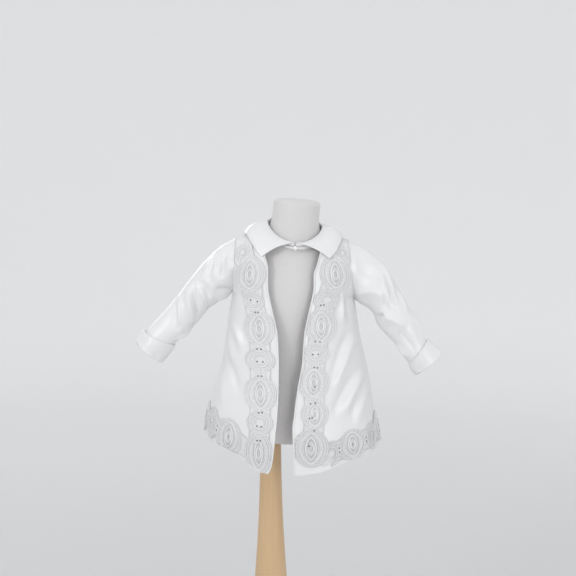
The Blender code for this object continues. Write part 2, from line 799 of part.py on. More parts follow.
def front_lace(side):
    """Scalloped strip of medallions down a front, from the shoulder seam to the hem's corner."""
    hole = ARMHOLES[side]
    shares = [i / FRONT_LACE_COLUMNS for i in range(FRONT_LACE_COLUMNS + 1)]
    rows = []
    for level in FRONT_LACE_LEVELS:
        low, high = lace_span(side, hole.z_mid + (hole.z_top - hole.z_mid) * sin(radians(90 * (level - 2))))
        rows.append([shoulder_skin(side, mix(low, high, share), level) for share in shares])
    for z in lace_heights(side):
        low, high = lace_span(side, z)
        rows.append([front_skin(side, mix(low, high, share), z) for share in shares])
    return shell("lace_front_" + side, rows, LACE_WALL, LACE, lift=LACE_LIFT + LACE_WALL)


def hem_runs(face):
    """Shares of the way across, with their distances from the right side seam along the hem."""
    shares = np.linspace(0.0, 1.0, 2 * SEARCH_STEPS)
    column = "front" if face < 0 else "back"
    points = np.array([section_point(face, share, smooth(HEMS, "across", column, share))
                       for share in shares])
    steps = np.linalg.norm(np.diff(points, axis=0), axis=1)
    return shares, np.concatenate(([0.0], np.cumsum(steps)))


def lace_runs(medallions, start, end):
    """Columns of a hem lace, closer together near each medallion's ends."""
    runs = [start, end]
    for row in medallions:
        runs += [row.run + row.half_length * sin(radians(turn)) for turn in HEM_LACE_TURNS]
    runs = sorted(run for run in runs if start <= run <= end)
    kept = [runs[0]]
    for run in runs[1:-1]:
        if min(run - kept[-1], end - run) > HEM_LACE_COLUMN_GAP:
            kept.append(run)
    return kept + [runs[-1]]


def hem_lace(name):
    """Scalloped strip along the hem, from near a side seam to the front lace or the other seam."""
    face = 1 if name == "back" else -1
    shares, lengths = hem_runs(face)
    whole = lengths[-1]
    if name == "back":
        sizes = (BACK_LACE_BIG, BACK_LACE_SMALL)
        first = whole / 2 - BACK_LACE_PITCH * (BACK_LACE_COUNT - 1) / 2
        medallions = [HemMedallion(first + BACK_LACE_PITCH * i, BACK_LACE_UP, *sizes[i % 2])
                      for i in range(BACK_LACE_COUNT)]
        end = whole - 1.0
    else:
        medallions = HEM_LACE[name]
        end = HEM_LACE_END[name]
    rows = [[] for _ in range(HEM_LACE_ROWS + 1)]
    for run in lace_runs(medallions, 1.0, end):
        place_run = whole - run if name == "left" else run
        across = float(np.interp(place_run, lengths, shares))
        hem = smooth(HEMS, "across", "front" if face < 0 else "back", across)
        middle = hem + curve([row.run for row in medallions], [row.up for row in medallions], run)
        low, high = middle - HEM_LACE_NECK, middle + HEM_LACE_NECK
        for row in medallions:
            offset = (run - row.run) / row.half_length
            if abs(offset) < 1:
                half = row.half_height * sqrt(1 - offset ** 2)
                low = min(low, hem + row.up - half)
                high = max(high, hem + row.up + half)
        for j, row in enumerate(rows):
            row.append(section_point(face, across, mix(low, high, j / HEM_LACE_ROWS)))
    return shell("lace_hem_" + name, rows, LACE_WALL, LACE, lift=LACE_LIFT + LACE_WALL)


# ---- form and stand ----

def dress_form():
    """Limbless child's form: rings up a leaning axis, lower at the front round the neck's root."""
    lean = radians(FORM_LEAN)
    mesh = bmesh.new()
    rings = []
    for row in FORM:
        ring = []
        for i in range(FORM_SIDES):
            turn = 2 * pi * i / FORM_SIDES
            side = row.half_width * cos(turn)
            up = row.height - row.front_drop * max(0.0, -sin(turn)) ** NECK_DIP_POWER
            x = FORM_X + side * cos(lean) + up * sin(lean)
            z = FORM_Z + up * cos(lean) - side * sin(lean)
            ring.append(mesh.verts.new((MM * x, MM * row.half_depth * sin(turn), MM * z)))
        rings.append(ring)
    return place("form_body", skin_rings(mesh, rings), LINEN)


def skin_rings(mesh, rings):
    """Close a stack of rings of equal count with walls and flat ends."""
    sides = len(rings[0])
    for low, high in zip(rings, rings[1:]):
        for i in range(sides):
            j = (i + 1) % sides
            mesh.faces.new((low[i], low[j], high[j], high[i]))
    mesh.faces.new(rings[0])
    mesh.faces.new(rings[-1])
    return mesh


def lathe(name, profile, x, finish):
    """Turned piece: rings of the profile about a vertical axis."""
    mesh = bmesh.new()
    rings = []
    for turn in profile:
        rings.append([mesh.verts.new((MM * (x + turn.radius * cos(2 * pi * i / TURN_SIDES)),
                                      MM * turn.radius * sin(2 * pi * i / TURN_SIDES), MM * turn.z))
                      for i in range(TURN_SIDES)])
    return place(name, skin_rings(mesh, rings), finish)


# ---- solids ----

def grid_normals(grid, closed):
    """Unit normals of a grid of points, pointing away from the inside of the cloth."""
    if closed:
        along = np.roll(grid, -1, axis=1) - np.roll(grid, 1, axis=1)
    else:
        along = np.gradient(grid, axis=1)
    up = np.gradient(grid, axis=0)
    normals = np.cross(along, up)
    normals /= np.linalg.norm(normals, axis=2)[:, :, None]
    if closed:
        inside = grid.mean(axis=1)[:, None, :]
    else:
        inside = np.array((NECK_X, 0.0, min(grid[:, :, 2].mean(), CHEST_Z)))
    return normals if np.sum(normals * (grid - inside)) > 0 else -normals


def shell(name, grid, wall, finish, closed=False, lift=0.0, face=0):
    """Closed cloth solid: the grid is its outer face (moved out by lift), with a wall inside it.

    A face of -1 or 1 keeps a panel on its own side of the side and shoulder seams, which lie at y = 0.
    """
    grid = np.array(grid, float)
    normals = grid_normals(grid, closed)
    outer = grid + normals * lift
    inner = outer - normals * wall
    if face:
        for points in (outer, inner):
            points[:, :, 1] = face * np.maximum(face * points[:, :, 1], SEAM_HALF_GAP)
    mesh = bmesh.new()
    layers = []
    for points in (outer, inner):
        layers.append([[mesh.verts.new([MM * c for c in point]) for point in row] for row in points])
    rows, columns = grid.shape[:2]
    spans = columns if closed else columns - 1
    for layer, flip in zip(layers, (False, True)):
        for j in range(rows - 1):
            for i in range(spans):
                k = (i + 1) % columns
                quad = (layer[j][i], layer[j][k], layer[j + 1][k], layer[j + 1][i])
                mesh.faces.new(quad[::-1] if flip else quad)
    out, ins = layers
    for j, turn in ((0, 1), (rows - 1, -1)):
        for i in range(spans):
            k = (i + 1) % columns
            quad = (out[j][k], out[j][i], ins[j][i], ins[j][k])
            mesh.faces.new(quad[::turn])
    if not closed:
        for i, turn in ((0, 1), (columns - 1, -1)):
            for j in range(rows - 1):
                quad = (out[j][i], out[j + 1][i], ins[j + 1][i], ins[j][i])
                mesh.faces.new(quad[::turn])
    return place(name, mesh, finish)


def place(name, mesh, finish):
    """Finish a closed mesh as a named object with its material."""
    bmesh.ops.recalc_face_normals(mesh, faces=mesh.faces)
    data = bpy.data.meshes.new(name)
    mesh.to_mesh(data)
    mesh.free()
    data.shade_smooth()
    data.set_sharp_from_angle(angle=radians(SHARP_ANGLE))
    data.materials.append(material(finish))
    made = bpy.data.objects.new(name, data)
    bpy.context.collection.objects.link(made)
    return made


def build():
    clear_scene()
    lathe("stand_base", BASE, 0.0, BIRCH)
    lathe("stand_post", POST, POST_X, BIRCH)
    dress_form()
    back_panel()
    neck_band()
    collar()
    button()
    hem_lace("back")
    for side in ("right", "left"):
        front_panel(side)
        sleeve(side)
        cuff(side)
        front_lace(side)
        hem_lace(side)


build()
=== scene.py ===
from collections import namedtuple
from math import cos, pi, radians, sin, sqrt

import bmesh
import bpy
import numpy as np
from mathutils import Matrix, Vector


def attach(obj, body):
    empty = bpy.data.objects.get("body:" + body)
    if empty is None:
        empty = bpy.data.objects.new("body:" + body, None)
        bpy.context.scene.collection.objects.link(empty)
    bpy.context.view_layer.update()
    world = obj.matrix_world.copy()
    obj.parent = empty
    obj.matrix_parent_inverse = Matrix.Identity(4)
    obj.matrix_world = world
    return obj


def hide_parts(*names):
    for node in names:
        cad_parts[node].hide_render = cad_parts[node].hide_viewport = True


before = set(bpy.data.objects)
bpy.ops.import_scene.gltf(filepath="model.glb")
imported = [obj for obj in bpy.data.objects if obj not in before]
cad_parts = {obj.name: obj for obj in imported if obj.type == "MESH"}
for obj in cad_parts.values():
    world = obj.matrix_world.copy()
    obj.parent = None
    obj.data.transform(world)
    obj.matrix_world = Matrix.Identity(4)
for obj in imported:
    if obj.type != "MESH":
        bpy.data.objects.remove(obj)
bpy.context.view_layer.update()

# ==== Studio ====
# A seamless pale paper bowl: a round floor that turns up into a wall all round, open to the sky.
# One soft lamp at the front left, one at the front right, one behind, and even light from above.

BOWL_FLOOR = 2.3
BOWL_WALL = 4.6
BOWL_HEIGHT = 3.2
BOWL_SIDES = 96
BOWL_TURN_STEPS = 24
PAPER = (0.885, 0.885, 0.89)
# Painted shade: greyer paper round the middle of the floor, and the distances in metres over which it
# clears.
SHADED_PAPER = (0.65, 0.65, 0.655)
PAPER_SHADE_TO_LIT = (0.2, 3.4)
PAPER_GRAIN = 0.06
SKY_COLOUR = (0.98, 0.99, 1.0, 1.0)
SKY_LIGHT = 0.92
LAMP_AIM = (0.03, 0.0, 0.63)
LAMP_SPREAD = radians(70)
CAMERA_PLACE = (0.02805, -2.37664, 1.02762)
CAMERA_TILT = radians(82.0)
CAMERA_LENS = 90.909
CAMERA_SENSOR = 36.0


class Socket:
    """An output of a node. Arithmetic on it adds Math nodes to its finish."""

    def __init__(self, finish, output):
        self.finish, self.output = finish, output

    def maths(self, operation, *others):
        return self.finish.node("Math", {"operation": operation}, dict(enumerate((self, *others))))

    def __add__(self, other):
        return self.maths("ADD", other)

    def __mul__(self, other):
        return self.maths("MULTIPLY", other)

    __radd__ = __add__
    __rmul__ = __mul__


class Finish:
    """A procedural material. Its nodes are added by kind, settings and inputs."""

    def __init__(self, name, constants):
        self.material = bpy.data.materials.new(name)
        self.material.use_nodes = True
        self.tree = self.material.node_tree
        self.shader = self.tree.nodes["Principled BSDF"]
        self.feed(self.shader, constants)

    def feed(self, made, inputs):
        for key, value in inputs.items():
            if isinstance(value, Socket):
                self.tree.links.new(value.output, made.inputs[key])
            else:
                made.inputs[key].default_value = value

    def node(self, kind, settings=None, inputs=None, output=0):
        made = self.tree.nodes.new("ShaderNode" + kind)
        for key, value in (settings or {}).items():
            if key == "stops":
                ramp = made.color_ramp.elements
                while len(ramp) < len(value):
                    ramp.new(0.5)
                for stop, (at, shade) in zip(ramp, value):
                    stop.position, stop.color = at, (shade, shade, shade, 1.0)
            else:
                setattr(made, key, value)
        self.feed(made, inputs or {})
        return Socket(self, made.outputs[output])

    def place(self):
        """Place on the piece, in metres."""
        return self.node("TexCoord", output="Object")

    def axis(self, place, which):
        return self.node("SeparateXYZ", {}, {0: place}, output=which)

    def between(self, value, low, high, kind="LINEAR"):
        """How far a value is from low to high, from 0 to 1."""
        return self.node("MapRange", {"interpolation_type": kind},
                         {"Value": value, "From Min": low, "From Max": high})

    def blend(self, share, low, high):
        """Colour between two, by a share from 0 to 1."""
        low, high = [c if isinstance(c, Socket) else (*c, 1.0) for c in (low, high)]
        return self.node("Mix", {"data_type": "RGBA"}, {0: share, 6: low, 7: high}, output=2)

    def noise(self, place, scale, detail=2.0):
        return self.node("TexNoise", {}, {"Vector": place, "Scale": scale, "Detail": detail})

    def colour(self, share, low, high):
        """Give the surface a colour between two, by a share from 0 to 1."""
        self.feed(self.shader, {"Base Color": self.blend(share, low, high)})

    def relief(self, height, depth, strength=1.0):
        """Bump the surface by a height from 0 to 1 that stands for a real depth in metres."""
        bump = self.node("Bump", {}, {"Height": height, "Distance": depth, "Strength": strength})
        self.feed(self.shader, {"Normal": bump})


def mesh_piece(name, points, faces, finish):
    """Object from points in metres and faces, smooth, with its finish."""
    mesh = bpy.data.meshes.new(name)
    mesh.from_pydata(np.asarray(points, float).tolist(), [], faces)
    mesh.shade_smooth()
    mesh.materials.append(finish.material)
    made = bpy.data.objects.new(name, mesh)
    bpy.context.collection.objects.link(made)
    return made


def turns_round(count, whole=2 * pi):
    """Evenly spaced turns round a circle."""
    return np.arange(count) * whole / count


def lathe_points(profile, sides, place):
    """Rings of a profile of (along, radius), set in the frame by place(along, across, up)."""
    return np.array([[place(along, radius * cos(t), radius * sin(t)) for t in turns_round(sides)]
                     for along, radius in profile])


def ring_faces(rings, sides):
    """Faces between rings of points, all with the same number of sides."""
    return [(j * sides + k, j * sides + (k + 1) % sides, (j + 1) * sides + (k + 1) % sides,
             (j + 1) * sides + k) for j in range(rings - 1) for k in range(sides)]


def fan_faces(first, sides, tip):
    """Faces from a ring, given by its first point, to the point at its middle."""
    return [(first + k, first + (k + 1) % sides, tip) for k in range(sides)]


def soft_lamp(name, place, size, power):
    """Square soft lamp with a grid that keeps its light off the paper near it, not seen itself."""
    lamp = bpy.data.lights.new(name, "AREA")
    lamp.size, lamp.energy, lamp.spread = size, power, LAMP_SPREAD
    made = bpy.data.objects.new(name, lamp)
    direction = np.array(LAMP_AIM) - place
    made.location = place
    made.rotation_euler = Vector(direction).to_track_quat("-Z", "Y").to_euler()
    made.visible_camera = False
    bpy.context.collection.objects.link(made)


paper = Finish("paper", {"Roughness": 0.9, "Specular IOR Level": 0.2})
paper_place = paper.place()
paper_grain = paper.noise(paper_place, scale=260.0, detail=3.0)
from_middle = paper.node("VectorMath", {"operation": "LENGTH"}, {0: paper_place}, output="Value")
# Painted shade: the paper is greyer round the middle of the floor and whiter out towards the wall.
paper_lit_share = paper.between(from_middle, *PAPER_SHADE_TO_LIT, "SMOOTHSTEP")
paper.colour(paper_lit_share + paper_grain * PAPER_GRAIN, SHADED_PAPER, PAPER)
paper.relief(paper_grain, depth=0.0002)

bend = BOWL_WALL - BOWL_FLOOR
profile = [(bend - bend * cos(t), BOWL_FLOOR + bend * sin(t))
           for t in np.linspace(0, pi / 2, BOWL_TURN_STEPS + 1)]
profile.append((BOWL_HEIGHT, BOWL_WALL))
bowl_rings = lathe_points(profile, BOWL_SIDES, lambda z, x, y: (x, y, z))
bowl = mesh_piece("bowl", bowl_rings.reshape(-1, 3), ring_faces(len(profile), BOWL_SIDES), paper)
floor = mesh_piece("floor", [*bowl_rings[0], (0.0, 0.0, 0.0)],
                   fan_faces(0, BOWL_SIDES, BOWL_SIDES), paper)

soft_lamp("key_lamp", place=(-1.8, -2.1, 1.7), size=0.8, power=2.45)
soft_lamp("fill_lamp", place=(1.1, -2.7, 0.95), size=1.2, power=2.6)
soft_lamp("back_lamp", place=(-1.0, 2.8, 1.1), size=0.9, power=1.3)

sky = bpy.data.worlds.new("sky")
sky.use_nodes = True
sky.node_tree.nodes["Background"].inputs["Color"].default_value = SKY_COLOUR
sky.node_tree.nodes["Background"].inputs["Strength"].default_value = SKY_LIGHT
bpy.context.scene.world = sky
bpy.context.scene.view_settings.view_transform = "Standard"

camera = bpy.data.objects.new("camera", bpy.data.cameras.new("camera"))
camera.data.lens, camera.data.sensor_width = CAMERA_LENS, CAMERA_SENSOR
camera.location = CAMERA_PLACE
camera.rotation_euler = (CAMERA_TILT, 0.0, 0.0)
bpy.context.collection.objects.link(camera)
bpy.context.scene.camera = camera

# ==== Coat body ====
# Two fronts and a back in white satin, sewn together at the sides and shoulders, with no other
# seams. They flare to a wide hem, and the fronts hang open. Tables are in millimetres.

MM = 0.001
SIDES = ("right", "left")
SEAM_ACROSS = {"right": 0.0, "left": 1.0}
SATIN_WALL = 1.5
SEAM_HALF_GAP = 0.05
BAND_GAP = 0.9


def table(columns, *rows):
    """Rows of a table with named columns."""
    kind = namedtuple("Row", columns)
    return [kind(*row) for row in rows]


def for_sides(columns, right, left):
    """A table for each side of the wearer, with the same named columns."""
    return {"right": table(columns, *right), "left": table(columns, *left)}


# One row for each horizontal section: x at the wearer's right and left side seams, and the depths
# on the centre lines.
SECTIONS = table(
    "z right left front back",
    (390, -117, 191, -100, 96),
    (452, -110, 181, -96, 89),
    (484, -105, 174, -92, 84),
    (520, -97, 168, -88, 79),
    (564, -83, 160, -83, 73),
    (610, -75, 149, -77, 67),
    (657, -69, 141, -71, 62),
    (685, -64, 137, -67, 59),
    (735, -60, 131, -62, 56),
    (800, -57, 127, -60, 54),
)

# x of each front's free edge at a height.
FRONT_EDGES = table(
    "z right left",
    (390, -14, 30),
    (402, -5, 29),
    (416, 2, 28),
    (452, 7, 30),
    (497, 12, 37),
    (540, 14, 42),
    (581, 14.5, 49.5),
    (627, 12.5, 53),
    (666, 4, 61),
    (707, -3.5, 69),
    (738, -3, 67.5),
    (752, -9, 62),
    (770, -10, 65),
    (800, -6, 80),
)

# Hem height by share of the way across: 0 the wearer's right side seam, 1 the left one.
HEMS = table(
    "across front back",
    (0.00, 452, 452),
    (0.13, 446, 447),
    (0.27, 434, 442),
    (0.42, 404, 439),
    (0.50, 400, 437),
    (0.58, 404, 436),
    (0.73, 423, 436),
    (0.87, 431, 436),
    (1.00, 437, 437),
)

# Seams between body and sleeve, from armpit to shoulder. The spread is how much wider than the
# seams the body's section would be at the armhole's middle, which sets how deep the hole is.
ARMHOLES = dict(zip(SIDES, table(
    "x_under x_mid x_top z_under z_mid z_top",
    (-64, -60, -58, 688, 733, 777),
    (137, 131, 127, 677, 727, 773),
)))
ARMHOLE_SPREAD = 0.25
ARMHOLE_SPREAD_POWER = 1.2
SHOULDER_ROUND = 0.75

# Neckline: an oval ring, lower in front, tilted with the form.
NECK_X = 39.5
NECK_Z = 800.4
NECK_HALF_WIDTH = 44.6
NECK_HALF_DEPTH = 45.0
NECK_FRONT_DROP = 26.5
NECK_BACK_RISE = 8.0
NECK_SIDE_SLOPE = -0.092
NECK_DIP_POWER = 1.4
STAND_HEIGHT = 6.0
STAND_FLARE = 1.0
BAND_DEPTH = 5.0
BAND_FLARE = 4.5
NECK_SHARE = 0.285
FRONT_BAND_ANGLE = 62.0
FRONT_EDGE_SHARE = 0.335
CHEST_Z = 690.0

# Gentle flare waves round the skirt: count round the body, height at the hem, phase in degrees.
WAVES = table(
    "count height phase",
    (5, 3.2, 35),
    (9, 2.2, 110),
)
WAVE_TOP = 680.0
WAVE_REACH = 280.0
WAVE_GROWTH = 1.5

# Soft folds: a ridge (+) or trough (-) from one end to the other, its middle bowed aside. On the
# body x and z are places seen from the front.
FOLD = "x0 z0 x1 z1 bow width height"
FRONT_FOLDS = table(
    FOLD,
    (130, 634, 98, 548, 3, 7, -3.2), (141, 626, 104, 540, 3, 8, 3.4), (146, 574, 99, 496, 2, 7, -2.8),
    (153, 568, 117, 496, 0, 10, 3.4), (157, 550, 130, 486, 5, 7, -2.8), (166, 552, 138, 476, 3, 8, 2.6),
    (114, 700, 118, 640, 0, 5, 2.4), (124, 690, 129, 640, 0, 6, -2.4), (-66, 644, -46, 596, -3, 6, 3.0),
    (-72, 640, -60, 570, 0, 7, 2.4), (-74, 592, -50, 528, 0, 7, -2.4), (-86, 612, -92, 515, 0, 8, 2.2),
    (-78, 570, -79, 500, 0, 8, 1.8),
)
BACK_FOLDS = table(
    FOLD,
    (-50, 660, -78, 500, 0, 10, 2.8), (-30, 640, -46, 480, 3, 9, -2.2), (0, 560, -8, 450, 0, 12, 2.6),
    (44, 600, 40, 470, -4, 10, -2.4), (72, 570, 86, 448, 0, 12, 2.8), (124, 660, 150, 510, 0, 10, 2.8),
    (104, 640, 120, 500, 3, 9, -2.2),
)
FOLD_SEAM_FADE = 0.35
FOLD_LIFT = 1.25
CREST_SHARE = 0.55
CREST_WIDTH = 0.26
CREST_SOFTENING = 0.5
EDGE_ROLL = 1.6
EDGE_ROLL_AT = 1.9
EDGE_ROLL_WIDTH = 1.2
BODY_ROWS = (76, 16, 18)
BODY_EASE = 3
FRONT_COLUMNS = 84
FRONT_CROWDING = 1.3
BACK_COLUMNS = 130
SEARCH_STEPS = 80
RIM_STEPS = 3
NEAR_ZERO = 1e-9


def curve(keys, values, at):
    """Smooth curve through points, with slopes that never overshoot."""
    keys, values = np.array(keys, float), np.array(values, float)
    at = np.clip(at, keys[0], keys[-1])
    k = np.clip(np.searchsorted(keys, at) - 1, 0, len(keys) - 2)
    step = np.diff(keys)
    rise = np.diff(values) / step
    before, after = rise[:-1], rise[1:]
    turning = before * after <= 0
    inner = np.where(turning, 0.0, 2 * before * after / np.where(turning, 1.0, before + after))
    slope = np.concatenate((rise[:1], inner, rise[-1:]))
    t = (at - keys[k]) / step[k]
    bend = 2 * t ** 3 - 3 * t ** 2
    return ((1 + bend) * values[k] - bend * values[k + 1]
            + ((t ** 3 - 2 * t ** 2 + t) * slope[k] + (t ** 3 - t ** 2) * slope[k + 1]) * step[k])


def column(rows, key, value, at):
    """A column of a table at any height, on a smooth curve through its rows."""
    return curve([getattr(row, key) for row in rows], [getattr(row, value) for row in rows], at)


def mix(a, b, share):
    return a + (b - a) * share


def unit(vectors):
    return vectors / np.maximum(np.linalg.norm(vectors, axis=-1, keepdims=True), NEAR_ZERO)


def points_of(*parts):
    return np.stack(np.broadcast_arrays(*parts), axis=-1).astype(float)


def neck_ring(angle, down=0.0, out=0.0):
    """Neckline: angle 0 is centre front, 90 the wearer's right, 180 centre back."""
    front = np.cos(np.radians(angle))
    x = NECK_X - (NECK_HALF_WIDTH + out) * np.sin(np.radians(angle))
    y = -(NECK_HALF_DEPTH + out) * front
    dip = np.where(front > 0, NECK_FRONT_DROP, -NECK_BACK_RISE)
    z = NECK_Z + NECK_SIDE_SLOPE * (x - NECK_X) - dip * np.abs(front) ** NECK_DIP_POWER - down
    return points_of(x, y, z)


def fold_height(folds, x, z, scale=(1, 1)):
    """Sum of folds at a point, each a soft swell with a crisper crest. The scale is for their ends."""
    total = np.zeros(np.broadcast(x, z).shape)
    for fold in folds:
        x0, z0 = fold.x0 * scale[0], fold.z0 * scale[1]
        along = np.array((fold.x1 * scale[0] - x0, fold.z1 * scale[1] - z0), float)
        length = np.linalg.norm(along)
        along /= length
        run = np.clip(((x - x0) * along[0] + (z - z0) * along[1]) / length, 0, 1)
        fade = 4 * run * (1 - run)
        away = (x - x0) * along[1] - (z - z0) * along[0] - fold.bow * fade
        crest = CREST_SHARE * np.exp(-np.hypot(away, CREST_SOFTENING) / (CREST_WIDTH * fold.width))
        total += fold.height * fade * (np.exp(-(away / fold.width) ** 2) + crest)
    return total * FOLD_LIFT


def section_point(face, across, z, rise=0.0):
    """Point of the body at a height; rise is how far up the armhole's lower half it is."""
    across, z, rise = np.broadcast_arrays(across, z, rise)
    depth = np.abs(column(SECTIONS, "z", "front" if face < 0 else "back", z))
    limits = {side: column(SECTIONS, "z", side, z) for side in SIDES}
    middle = (limits["right"] + limits["left"]) / 2
    spread = 1 + ARMHOLE_SPREAD * rise ** ARMHOLE_SPREAD_POWER
    start = np.arccos(1 / spread)
    reaches = {}
    for side, limit in limits.items():
        hole = ARMHOLES[side]
        edge = np.where(rise > 0, mix(hole.x_under, hole.x_mid, rise), limit)
        reaches[side] = np.abs(middle - edge) * spread
    turn = mix(start, pi - start, across)
    reach = np.where(turn < pi / 2, reaches["right"], reaches["left"])
    x = middle - reach * np.cos(turn)
    y = face * depth * np.sin(turn)
    outward = unit(points_of((x - middle) / reach ** 2, y / depth ** 2, 0.0))
    grow = np.maximum(0.0, (WAVE_TOP - z) / WAVE_REACH) ** WAVE_GROWTH
    round_body = turn if face < 0 else 2 * pi - turn
    raised = grow * sum(w.height * np.cos(w.count * round_body + radians(w.phase)) for w in WAVES)
    fade = np.minimum(1.0, (np.sin(turn) / FOLD_SEAM_FADE) ** 2)
    raised = raised + fade * fold_height(FRONT_FOLDS if face < 0 else BACK_FOLDS, x, z)
    return points_of(x, y, z) + outward * raised[..., None]


def top_edge(face, across):
    """Where a panel ends: along the shoulder seam, then along the neck band."""
    right = across <= 0.5
    share = np.where(right, across, 1 - across)
    tips = [points_of(ARMHOLES[side].x_top, 0.0, ARMHOLES[side].z_top) for side in SIDES]
    tip = np.where(right[..., None], tips[0], tips[1])
    down, out = STAND_HEIGHT + BAND_DEPTH + BAND_GAP, BAND_FLARE + BAND_GAP / 2
    seam = mix(tip, neck_ring(np.where(right, 90.0, 270.0), down, out),
               np.minimum(share / NECK_SHARE, 1.0)[..., None])
    if face < 0:
        swing = (FRONT_BAND_ANGLE - 90) / (FRONT_EDGE_SHARE - NECK_SHARE)
    else:
        swing = 90 / (0.5 - NECK_SHARE)
    angle = 90 + swing * (share - NECK_SHARE)
    neck = neck_ring(np.where(right, angle, 360 - angle), down, out)
    return np.where((share <= NECK_SHARE)[..., None], seam, neck)


def body_point(face, across, level):
    """Point by level: 0 hem, 1 armpit, 2 middle of the armhole, 3 shoulder and neck band."""
    across, level = [np.asarray(a, float) for a in np.broadcast_arrays(across, level)]
    under = mix(ARMHOLES["right"].z_under, ARMHOLES["left"].z_under, across)
    mid = mix(ARMHOLES["right"].z_mid, ARMHOLES["left"].z_mid, across)
    hem = column(HEMS, "across", "front" if face < 0 else "back", across)
    climb = 1 - np.cos(np.radians(90 * np.clip(level - 1, 0, 1)))
    z = np.where(level <= 1, mix(hem, under, level), under + (mid - under) * climb)
    base = section_point(face, across, z, climb)
    top = top_edge(face, across)
    turn = np.radians(90 * np.clip(level - 2, 0, 1))
    over = mix(base, top, np.sin(turn)[..., None])
    over[..., 1] = mix(top[..., 1], base[..., 1], np.cos(turn) ** SHOULDER_ROUND)
    return np.where((level > 2)[..., None], over, base)


def edge_share(side, level):
    """Share of the way across at which a front's free edge lies on a row."""
    inner = FRONT_EDGE_SHARE if side == "right" else 1 - FRONT_EDGE_SHARE
    if level >= 3:
        return inner
    shares = np.linspace(SEAM_ACROSS[side], inner if level > 2 else 0.5, SEARCH_STEPS)
    points = body_point(-1, shares, level)
    gaps = points[:, 0] - column(FRONT_EDGES, "z", side, points[:, 2])
    return float(np.interp(0.0, gaps if side == "right" else -gaps, shares))


def body_levels():
    """Rows of the panels, closer together round the armholes and over the shoulders."""
    parts = [np.linspace(k, k + 1, rows + 1)[1:] for k, rows in enumerate(BODY_ROWS)]
    return np.concatenate(([0.0], *parts))


def ease(grid, rounds):
    """Even out a grid's rows, leaving the first and last where they are."""
    for _ in range(rounds):
        grid[1:-1] = (grid[:-2] + 2 * grid[1:-1] + grid[2:]) / 4
    return grid


def front_grid(side):
    """Points of a front from the side seam to its free edge, which is rolled a little."""
    shares = 1 - (1 - np.linspace(0, 1, FRONT_COLUMNS + 1)) ** FRONT_CROWDING
    grid = ease(np.array([body_point(-1, mix(SEAM_ACROSS[side], edge_share(side, level), shares), level)
                          for level in body_levels()]), BODY_EASE)
    to_edge = lengths_along(grid, 1)
    to_edge = to_edge[:, -1:] - to_edge
    roll = EDGE_ROLL * np.exp(-((to_edge - EDGE_ROLL_AT) / EDGE_ROLL_WIDTH) ** 2)
    return grid + grid_normals(grid, False) * roll[..., None]


def grid_normals(grid, closed):
    """Unit normals of a grid of points, pointing away from the inside of the cloth."""
    if closed:
        along = np.roll(grid, -1, axis=1) - np.roll(grid, 1, axis=1)
    else:
        along = np.gradient(grid, axis=1)
    normals = unit(np.cross(along, np.gradient(grid, axis=0)))
    inside = grid.mean(axis=1)[:, None, :] if closed else np.array(
        (NECK_X, 0.0, min(grid[:, :, 2].mean(), CHEST_Z)))
    return normals if np.sum(normals * (grid - inside)) > 0 else -normals


def lengths_along(grid, axis):
    """Distances along a grid or path from its first row, column or point."""
    steps = np.linalg.norm(np.diff(grid, axis=axis), axis=-1)
    start = np.zeros_like(steps.take([0], axis=axis))
    return np.concatenate((start, np.cumsum(steps, axis=axis)), axis=axis)


